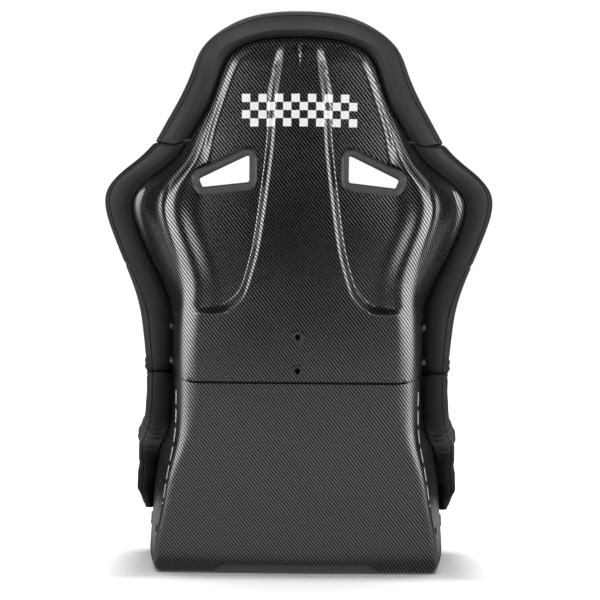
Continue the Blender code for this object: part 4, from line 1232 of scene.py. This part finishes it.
def make_head_pad():
    ts = steps(HEAD_SEAM + SEAM_STEP, TOP, 90)
    rows = [shifted_row(head_section, t, (TOP - t) / (TOP - HEAD_SEAM)) for t in ts]
    front, back = (to_array(sheet) for sheet in zip(*rows))
    relief = seam_relief(front)
    column = np.arange(front.shape[1])
    for i, t in enumerate(ts):
        from_low = (t - ts[0]) * RIB_SPACING
        relief[i] -= END_DEPTH * bell(from_low, 0.003)
        relief[i] -= 0.0006 * bell(from_low - 0.009, 0.0012) * (column > 30)
        for j in column:
            relief[i, j] += 0.0007 * fold_noise(front[i, j], 0.05, (1, 1, 1), 5.0)
    front, back = side_by_side(raised(front, back, relief)), side_by_side(back)
    zones = cover_zones(front)
    zones[:, STRIP_COLUMN:SEAM_COLUMN] = 2
    roll_cover("head_pad_cover", "head_pad", front, back, zones)


def side_by_side(sheet):
    """A sheet whose last row is the centre rib, carried on over the middle to the other side."""
    other = sheet[-2::-1].copy()
    other[..., 0] *= -1
    sheet = sheet.copy()
    sheet[-1, :, 0] = 0
    return np.concatenate([sheet, other])


make_side_bolsters()
make_head_pad()


# ---------------------------------------------------------------- thigh bolsters
def wall_x(y, z):
    """Half width of the base's outer side wall at a place along it."""
    start, end = side_ends(z)
    f = min(max(side_share(y, z), 0), 1)
    return start.lerp(end, f).x + SIDE_BOW * math.sin(math.pi * f)


def rim_frame(k):
    """The rim of the base at a station: its point on the outer face, outward and forward directions."""
    y, z = rim_line(k)
    y2, z2 = rim_line(k + 0.01)
    slope_y = (wall_x(y + 0.012, z) - wall_x(y, z)) / 0.012
    slope_z = (wall_x(y, z) - wall_x(y, z - 0.030)) / 0.030

    def on_wall(dy, dz):
        return Vector((slope_y * dy + slope_z * dz, dy, dz)).normalized()

    along = on_wall(y2 - y, z2 - z)
    steep = Vector((0, along.z, -along.y)).normalized()
    steep = steep.lerp(Vector((0, -1, 0)), 1 - smooth(k / 2.5))
    forward = on_wall(steep.y, steep.z)
    out = along.cross(forward).normalized()
    if out.x < 0:
        out = -out
    return Vector((wall_x(y, z), y, z)), out, forward


THIGH_FOOT = spline((0, 2, 3.5, 5, 7, 9, 10.8), (0.078, 0.085, 0.100, 0.088, 0.070, 0.040, 0.026))
THIGH_END = len(BASE_RIM) - 1.25


def thigh_section(k):
    """Front and back curves of a thigh bolster at a station of the base's rim, about that rim."""
    end = smooth((k - 6.0) / 3.5)
    tip = smooth((k - 9.6) / 1.15)
    foot = THIGH_FOOT(k)
    inner = 0.040 - 0.008 * end - 0.006 * tip
    width = 0.042 - 0.012 * end - 0.016 * tip
    wall = WALL + 0.0070 * (1 - smooth((k - 1.3) / 1.2))
    crest = ROLL_FRONT - 0.010 * end - 0.018 * tip
    t, n = Vector((0, 1)), Vector((-1, 0))
    backs = [n * (wall + 0.0030) - t * foot * f for f in (1.0, 0.75, 0.5, 0.25)]
    backs += rim_path(t, n, wall)
    controls = [n * (wall + 0.0040) - t * (foot + 0.006), n * (0.75 * inner) - t * (foot + 0.004)]
    controls += [n * (inner + 0.001) - t * (foot * 0.72)] + roll_path(width, crest, t, n, inner)
    return rolled(controls, backs, min(0.0085, 0.3 * width))


def make_thigh_bolsters():
    ks = steps(-0.20, THIGH_END, 134)
    rows = []
    for k in ks:
        point, out, forward = rim_frame(k)
        rows.append([[point + out * p[0] + forward * p[1] for p in sheet] for sheet in thigh_section(k)])
    front, back = (to_array(sheet) for sheet in zip(*rows))
    relief = seam_relief(front)
    column = np.arange(front.shape[1])
    outer = np.clip((column - THIGH_CLOTH_COLUMN) / 10, 0, 1)
    for i, k in enumerate(ks):
        relief[i] -= 0.0014 * bell(k * 0.028, 0.002)
        loose = smooth((k - 2.2) / 1.5)
        gather = smooth((k - 3.2) / 1.0) * smooth((9.5 - k) / 2.0)
        for j in column:
            p = front[i, j]
            fold = 0.0014 * fold_noise(p, 0.030, (1, 1, 0.5), 11.0)
            fold += 0.0022 * loose * fold_noise(p, 0.016, (0.5, 1.0, 1.0), 17.0)
            fold += 0.0016 * gather * fold_noise(p, 0.008, (0.3, 1.2, 1.0), 23.0)
            relief[i, j] += fold * outer[j]
    front = raised(front, back, relief)
    zones = cover_zones(front)
    for i, k in enumerate(ks[:-1]):
        if k > THIGH_CLOTH_FROM:
            zones[i, THIGH_CLOTH_COLUMN:] = 1
        else:
            zones[i, CLOTH_COLUMN:SEAM_COLUMN] = 2
    cover_pair("thigh_bolster", front, back, zones)


make_thigh_bolsters()


# ---------------------------------------------------------------- padded fabric
def tree_of(obj):
    bm = bmesh.new()
    bm.from_mesh(obj.data)
    made = BVHTree.FromBMesh(bm)
    bm.free()
    return made


PRESSURE = 4.0
SIM_FRAMES = 20
PIPING_SINK = 0.0002


def puffed(obj, voxel, cap, held):
    """Inflates a pad's cover by cloth simulation. cap limits how far a point moves, and held says how much of
    the movement a point with that outward direction keeps."""
    remesh = obj.modifiers.new("Remesh", "REMESH")
    remesh.mode = "VOXEL"
    remesh.voxel_size = voxel
    apply_modifiers(obj)
    count = len(obj.data.vertices)
    rest = np.empty(count * 3)
    obj.data.vertices.foreach_get("co", rest)
    rest = rest.reshape(-1, 3)
    normals = np.array([v.normal for v in obj.data.vertices])
    cloth = obj.modifiers.new("Cloth", "CLOTH")
    cloth.settings.quality = 4
    cloth.settings.use_pressure = True
    cloth.settings.uniform_pressure_force = PRESSURE
    cloth.settings.effector_weights.gravity = 0
    cloth.settings.tension_stiffness = 12
    cloth.settings.compression_stiffness = 12
    scene = bpy.context.scene
    for number in range(1, SIM_FRAMES + 1):
        scene.frame_set(number)
    dg = bpy.context.evaluated_depsgraph_get()
    moved = np.array([v.co for v in obj.evaluated_get(dg).data.vertices])
    obj.modifiers.clear()
    scene.frame_set(1)
    shift = moved - rest
    length = np.linalg.norm(shift, axis=1, keepdims=True) + 1e-12
    shift *= np.minimum(length, cap) / length
    shift *= np.array([held(p, n) for p, n in zip(rest, normals)])[:, None]
    obj.data.vertices.foreach_set("co", (rest + shift).reshape(-1))
    finer = obj.modifiers.new("Subdivision", "SUBSURF")
    finer.levels = finer.render_levels = 1
    apply_modifiers(obj)
    obj.data.shade_smooth()


def tube(name, path, radius, sides=8):
    """A piping along a closed path of points."""
    path = [Vector(p) for p in path]
    count = len(path)
    verts, faces = [], []
    for i, p in enumerate(path):
        along = (path[(i + 1) % count] - path[i - 1]).normalized()
        side = along.cross(Vector((0, 0, 1)))
        if side.length < 0.05:
            side = along.cross(Vector((0, 1, 0)))
        side.normalize()
        up = side.cross(along)
        for k in range(sides):
            a = math.tau * k / sides
            verts.append(p + side * radius * math.cos(a) + up * radius * math.sin(a))
            m, after = (k + 1) % sides, (i + 1) % count
            faces.append((i * sides + k, i * sides + m, after * sides + m, after * sides + k))
    mesh = bpy.data.meshes.new(name)
    mesh.from_pydata([tuple(v) for v in verts], [], faces)
    facing_out(mesh)
    return new_object(name, mesh, [PIPING], 80)


def on_surface(tree, path):
    """The path's points moved onto a surface and a little into it."""
    made = []
    for p in path:
        place, normal, _, _ = tree.find_nearest(Vector(p))
        made.append(place - normal * PIPING_SINK)
    return made


def cushion_on_back(name, half_width, low, high, rear, front, crown=0.0, lift=0.0, rows=18, columns=14):
    """A pad that lies along the back between two depths, with softened borders."""
    fronts, backs = [], []
    for i in range(rows + 1):
        f = i / rows
        z = low + (high - low) * f
        front_row, back_row = [], []
        for j in range(columns + 1):
            g = j / columns
            x = g * half_width
            edge = min(f, 1 - f) * (high - low)
            edge = min(edge, (1 - g) * half_width)
            fall = 0.35 * (front - rear) * (1 - smooth(edge / 0.012)) ** 2
            depth = front + crown * (1 - (2 * f - 1) ** 2) * (1 - g**2) - fall
            front_row.append(Vector((x, face_y(x, z, depth), z + lift * max(0.0, 4 * f - 3))))
            back_row.append(Vector((x, face_y(x, z, rear), z)))
        fronts.append(front_row)
        backs.append(back_row)
    return slab(name, across(to_array(fronts)), across(to_array(backs)), [FABRIC], sharp=70)


def rounded_outline(half_width, low, high, radius, count=8):
    """Points (x, z) round a rectangle with rounded corners."""
    points = []
    corners = ((half_width, high, 0), (-half_width, high, 90), (-half_width, low, 180), (half_width, low, 270))
    for x, z, start in corners:
        cx = x - math.copysign(radius, x)
        cz = z - radius if z == high else z + radius
        for k in range(count + 1):
            a = math.radians(start + 90 * k / count)
            points.append((cx + radius * math.cos(a), cz + radius * math.sin(a)))
    return resampled(points + points[:1], 160)[:-1]


def hold_back(depth_line):
    """Points near the back of a pad, where it rests, don't move."""

    def held(p, n):
        return smooth((depth_line(p) - 0.004) / 0.012) if n[1] < 0.5 else 0.0

    return held


def make_back_pads():
    """The centre panel, the hip pad and the lumbar cushion, with a piping round the lumbar cushion."""
    last = HEAD_SEAM - SEAM_STEP
    shares = joined_steps((0, 0.92, 1), (26, 5))
    fronts, backs = [], []
    for t in steps(0.0, last, 110):
        rib = Rib(t)
        seam = SEAM_LINE(t) - SEAM_GAP / 2
        end = min(t, last - t) * 0.042
        front_row = []
        for f in shares:
            edge = min((1 - f) * seam, end)
            channel = 0.0016 * bell(f * seam - 0.045 * seam / 0.118, 0.0022)
            fall = 0.004 * (1 - smooth(edge / 0.010)) ** 1.5 + channel * smooth(end / 0.03)
            front_row.append(rib.place(f * seam, PAD_DEPTH - fall))
        fronts.append(front_row)
        backs.append([rib.place(f * seam, WALL + POCKET_DEPTH + GAP) for f in shares])
    panel = slab("back_panel_cover", across(to_array(fronts)), across(to_array(backs)), [FABRIC], sharp=60)
    cut(panel, slot_prisms())
    show(panel, "seat", "fabric", "back_pad")

    hip = cushion_on_back("hip_pad_cover", 0.1670, 0.1695, 0.3090, WALL + 0.002, PAD_DEPTH - 0.004, lift=0.0065)
    puffed(hip, 0.005, 0.0045, hold_back(lambda p: face_y(p[0], p[2], WALL + 0.002) - p[1]))
    show(hip, "seat", "fabric", "hip_pad")

    low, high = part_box("lumbar_cushion")
    half = high.x - 0.003
    rear = PAD_DEPTH + 0.0015
    front = rear + 0.0155
    rest = cushion_on_back("lumbar_cushion_cover", half, low.z + 0.003, high.z - 0.003, rear, front, 0.006)
    puffed(rest, 0.004, 0.005, hold_back(lambda p: face_y(p[0], p[2], rear) - p[1]))
    outline = rounded_outline(half - 0.004, low.z + 0.007, high.z - 0.007, 0.012)
    path = [(x, face_y(x, z, rear + 0.016), z) for x, z in outline]
    piping = tube("lumbar_piping", on_surface(tree_of(rest), path), 0.0016)
    show(rest, "lumbar", "fabric", "lumbar_cushion")
    show(piping, "lumbar", "leather")


make_back_pads()

CUSHION_PLAN = spline(
    [-y * MM for y in (79, 67, 15, -50, -120, -190, -232, -262, -280, -296, -308, -317)],
    [x * MM for x in (128, 138, 142, 157, 171, 181, 184, 184, 184, 184, 182, 178)],
)
CUSHION_LOW = 0.060
CUSHION_TOP = spline((-0.337, -0.275, -0.19, -0.05, 0.087), (0.150, 0.176, 0.172, 0.152, 0.150))


def make_seat_cushion():
    """The loose cushion: a block cut to the tub, crowned, with a rounded nose that laps over the front lip."""
    shrink = 0.0035
    ys = joined_steps((0.079 - shrink, 0.060, -0.262, -0.317 + shrink), (5, 40, 14))
    shares = joined_steps((0, 0.88, 1), (22, 6))
    fronts, backs = [], []
    for y in ys:
        half = CUSHION_PLAN(-y) - shrink
        nose = smooth((-0.285 - y) / 0.030)
        low = CUSHION_LOW + shrink + (FRONT_LIP + 0.004 - CUSHION_LOW) * smooth((-0.262 - y) / 0.004)
        low += 0.014 * nose**3
        high = CUSHION_TOP(y) - shrink - 0.018 * nose**2 - 0.012 * smooth((y - 0.066) / 0.010)
        front_row, back_row = [], []
        for g in shares:
            edge = (1 - g) * half
            fall = 0.012 * (1 - smooth(edge / 0.014)) ** 1.5
            front_row.append(Vector((g * half, y, high - fall + 0.005 * (1 - g**2))))
            back_row.append(Vector((g * half, y, low)))
        fronts.append(front_row)
        backs.append(back_row)
    cushion = slab("seat_cushion_cover", across(to_array(fronts)), across(to_array(backs)), [FABRIC], sharp=70)

    def held(p, n):
        if n[2] < -0.5:
            return 0.0
        return 0.35 + 0.65 * smooth((p[2] - CUSHION_LOW - 0.02) / 0.05)

    puffed(cushion, 0.006, 0.009, held)
    ring = [(CUSHION_PLAN(-y) - 0.006, y, CUSHION_TOP(y) - 0.010) for y in steps(0.068, -0.300, 60)]
    half = ring[-1][0]
    ring += [(x, -0.3085, CUSHION_TOP(-0.305) - 0.012) for x in steps(half, -half, 48)[1:-1]]
    ring += [(-x, y, z) for x, y, z in ring[60::-1]]
    half = ring[0][0]
    ring += [(x, 0.0735, CUSHION_TOP(0.07) - 0.012) for x in steps(-half, half, 34)[1:-1]]
    path = on_surface(tree_of(cushion), resampled(ring + ring[:1], 420)[:-1])
    piping = tube("seat_cushion_piping", path, 0.0019)
    show(cushion, "loose_cushion", "fabric", "seat_cushion")
    show(piping, "loose_cushion", "leather")


make_seat_cushion()


# ---------------------------------------------------------------- CAD parts that stay
FINISHES = {
    "slot_": (PLASTIC, 0.0005),
    "joint_bolt": (STEEL, 0.0003),
    "joint_washer": (STEEL, 0.0003),
    "joint_plate": (ZINC, 0.0004),
    "rear_insert": (SHADED_INSERT_STEEL, 0.0003),
    "foot_insert": (ZINC, 0.0003),
    "side_insert": (ZINC, 0.0003),
    "pan_rail": (STEEL, 0.0004),
    "hook_strip": (HOOK_TAPE, 0.0003),
    "seat_board": (BOARD, 0.0004),
}
HIDDEN_CAD = {"leather": LEATHER, "fabric": FABRIC, "carbon": CARBON_PLAIN}


def dress_cad_nodes():
    slots = {row["node"]: row["material_slot"] for row in frame["record"]["subparts"]}
    for name, obj in NODES.items():
        for prefix, (finish, width) in FINISHES.items():
            if name.startswith(prefix):
                obj.data.materials.clear()
                obj.data.materials.append(finish)
                obj.data.shade_smooth()
                add_bevel(obj, width, 2, 30)
                break
        else:
            if slots[name] in HIDDEN_CAD:
                obj.data.materials.clear()
                obj.data.materials.append(HIDDEN_CAD[slots[name]])


dress_cad_nodes()


# ---------------------------------------------------------------- floor, light and background
def softbox(name, at, target, size, power, glossy=True):
    data = bpy.data.lights.new(name, "AREA")
    data.shape = "RECTANGLE"
    data.size, data.size_y = size
    data.energy = power
    made = in_scene(name, data)
    made.location = at
    made.rotation_euler = (Vector(target) - Vector(at)).to_track_quat("-Z", "Y").to_euler()
    made.visible_camera = False
    made.visible_glossy = glossy
    return made


def plane(name, half, z, finish):
    """A square of the stage at a height, round the middle."""
    mesh = bpy.data.meshes.new(name)
    corners = [(x * half, y * half, z) for x, y in ((-1, -1), (1, -1), (1, 1), (-1, 1))]
    mesh.from_pydata(corners, [], [(0, 1, 2, 3)])
    mesh.materials.append(finish)
    made = in_scene(name, mesh)
    return made


FLOOR_GLOW = 0.45
FLOOR_GLOW_FAR = 0.65  # added to it away from the seat


def floor_material():
    """White paper with painted light: it glows more the further it is from the seat and not at all under its
    footprint, so the soft shade under the seat is partly real shadow and partly painted shade.
    """
    s = Shader("floor", Roughness=0.9, Specular_IOR_Level=0.0)
    s.set("Base Color", s.mix(s.noise(3.0, 2.0), (0.88, 0.88, 0.88), (0.90, 0.90, 0.90)))
    distance = footprint_distance(s)
    s.bsdf.inputs["Emission Color"].default_value = (1, 1, 1, 1)
    # Painted shade: no glow under the seat's footprint, rising to FLOOR_GLOW within 0.10 m of it.
    near = s.ramp(distance, -0.02, 0.10, 0.0, FLOOR_GLOW)
    s.set("Emission Strength", s.plus(near, s.ramp(distance, 0.3, 2.0, 0.0, FLOOR_GLOW_FAR)))
    return s.material


FOOTPRINT = ((-0.25, -0.30), (0.25, 0.11))  # where the seat stands
BOUNCE_FROM = -0.03  # the mirrored floor is bright between these distances from the footprint
BOUNCE_FULL = 0.04
BOUNCE_FADE = 0.42
BOUNCE_END = 0.78
SIDE_GLOW = 8.5  # and two bright patches lie out to the sides behind the seat, for the moulded edges
SIDE_GLOW_X = (0.34, 0.68, 3.00, 4.00)
SIDE_GLOW_Y = (-0.20, 0.40, 2.00, 3.20)
SIDE_GLOW_FROM = (0.46, 0.78)
REAR_GLOW = 0.45  # with a weaker light further forward, for the side walls
REAR_GLOW_X = (0.25, 0.45, 1.40, 2.00)
REAR_GLOW_Y = (-2.1, -1.5, -0.2, 0.3)


def footprint_distance(shader):
    """How far a place on the floor is from the seat's footprint."""
    where = shader.place()
    low, high = FOOTPRINT
    centre = ((low[0] + high[0]) / 2, (low[1] + high[1]) / 2, 0)
    half = ((high[0] - low[0]) / 2, (high[1] - low[1]) / 2, 1)
    value = where
    past = (("SUBTRACT", centre), ("ABSOLUTE", None), ("SUBTRACT", half), ("MAXIMUM", (0, 0, 0)))
    for operation, other in past:
        made = shader.node("VectorMath", operation=operation)
        shader.feed(made.inputs[0], value)
        if other is not None:
            made.inputs[1].default_value = other
        value = made.outputs[0]
    length = shader.node("VectorMath", operation="LENGTH")
    shader.feed(length.inputs[0], value)
    return length.outputs["Value"]


def bounce_material():
    """What glossy surfaces see of the floor: bright near the seat and dark further out."""
    s = Shader("bounce", Roughness=1.0, Specular_IOR_Level=0.0)
    s.bsdf.inputs["Base Color"].default_value = (0, 0, 0, 1)
    s.bsdf.inputs["Emission Color"].default_value = (1, 1, 1, 1)
    distance = footprint_distance(s)
    x, y, _ = s.split(s.place())
    aside = s.math("ABSOLUTE", x)
    behind = s.ramp(y, -0.10, 0.12, 0.10, 1.0)
    near = s.times(s.ramp(distance, BOUNCE_FROM, BOUNCE_FULL), behind)
    far = s.ramp(distance, BOUNCE_FADE, BOUNCE_END, 1.0, 0.02)
    patch = s.times(s.between(aside, *SIDE_GLOW_X), s.between(y, *SIDE_GLOW_Y))
    patch = s.times(patch, s.ramp(distance, *SIDE_GLOW_FROM))
    glow = s.times(patch, SIDE_GLOW)
    weak = s.times(s.between(aside, *REAR_GLOW_X), REAR_GLOW)
    glow = s.plus(glow, s.times(weak, s.between(y, *REAR_GLOW_Y)))
    s.set("Emission Strength", s.plus(s.times(near, far), glow))
    return s.material


OVERHEAD_WATTS = 88
CROWN_WATTS = 14
STRIP_WATTS = 7
FILL_WATTS = 20
CAMERA_FILL_WATTS = 3.5
WORLD_FILL = 0.15  # what diffuse rays see of the white background
WORLD_MIRRORED = 0.03  # and what mirrors see of it


def make_world():
    world = bpy.data.worlds.new("studio")
    bpy.context.scene.world = world
    world.use_nodes = True
    tree = world.node_tree
    tree.nodes.clear()
    rays = tree.nodes.new("ShaderNodeLightPath").outputs

    def white(strength):
        made = tree.nodes.new("ShaderNodeBackground")
        made.inputs["Color"].default_value = (1, 1, 1, 1)
        made.inputs["Strength"].default_value = strength
        return made.outputs[0]

    def either(kind, no, yes):
        made = tree.nodes.new("ShaderNodeMixShader")
        for socket, value in zip(made.inputs, (rays[kind], no, yes)):
            tree.links.new(value, socket)
        return made.outputs[0]

    unseen = either("Is Glossy Ray", white(WORLD_FILL), white(WORLD_MIRRORED))
    seen = either("Is Camera Ray", unseen, white(1.0))
    tree.links.new(seen, tree.nodes.new("ShaderNodeOutputWorld").inputs["Surface"])


def make_stage():
    bpy.context.scene.view_settings.view_transform = "Standard"
    make_world()
    plane("floor", 30, -0.0005, floor_material()).visible_glossy = False
    bounce = plane("bounce", 4.2, -0.0004, bounce_material())
    bounce.visible_camera = False
    bounce.visible_diffuse = False
    bounce.visible_shadow = False
    bounce.visible_transmission = False

    middle = (0, 0.15, 0.45)
    softbox("overhead", (0, 0.3, 3.0), (0, 0.1, 0.3), (3.0, 3.0), OVERHEAD_WATTS, glossy=False)
    softbox("crown", (0, -1.3, 2.6), (0, 0.25, 0.8), (1.6, 0.5), CROWN_WATTS)
    for side, sign in SIDES:
        strip = softbox(f"strip_{side}", (sign * 2.0, 1.0, 0.9), middle, (0.5, 1.7), STRIP_WATTS)
        strip.visible_diffuse = False
        softbox(f"fill_{side}", (sign * 1.6, -2.4, 1.5), middle, (1.4, 1.8), FILL_WATTS, glossy=False)
    softbox("camera_fill", (0, 4.2, 2.6), middle, (3.0, 1.5), CAMERA_FILL_WATTS, glossy=False)


make_stage()
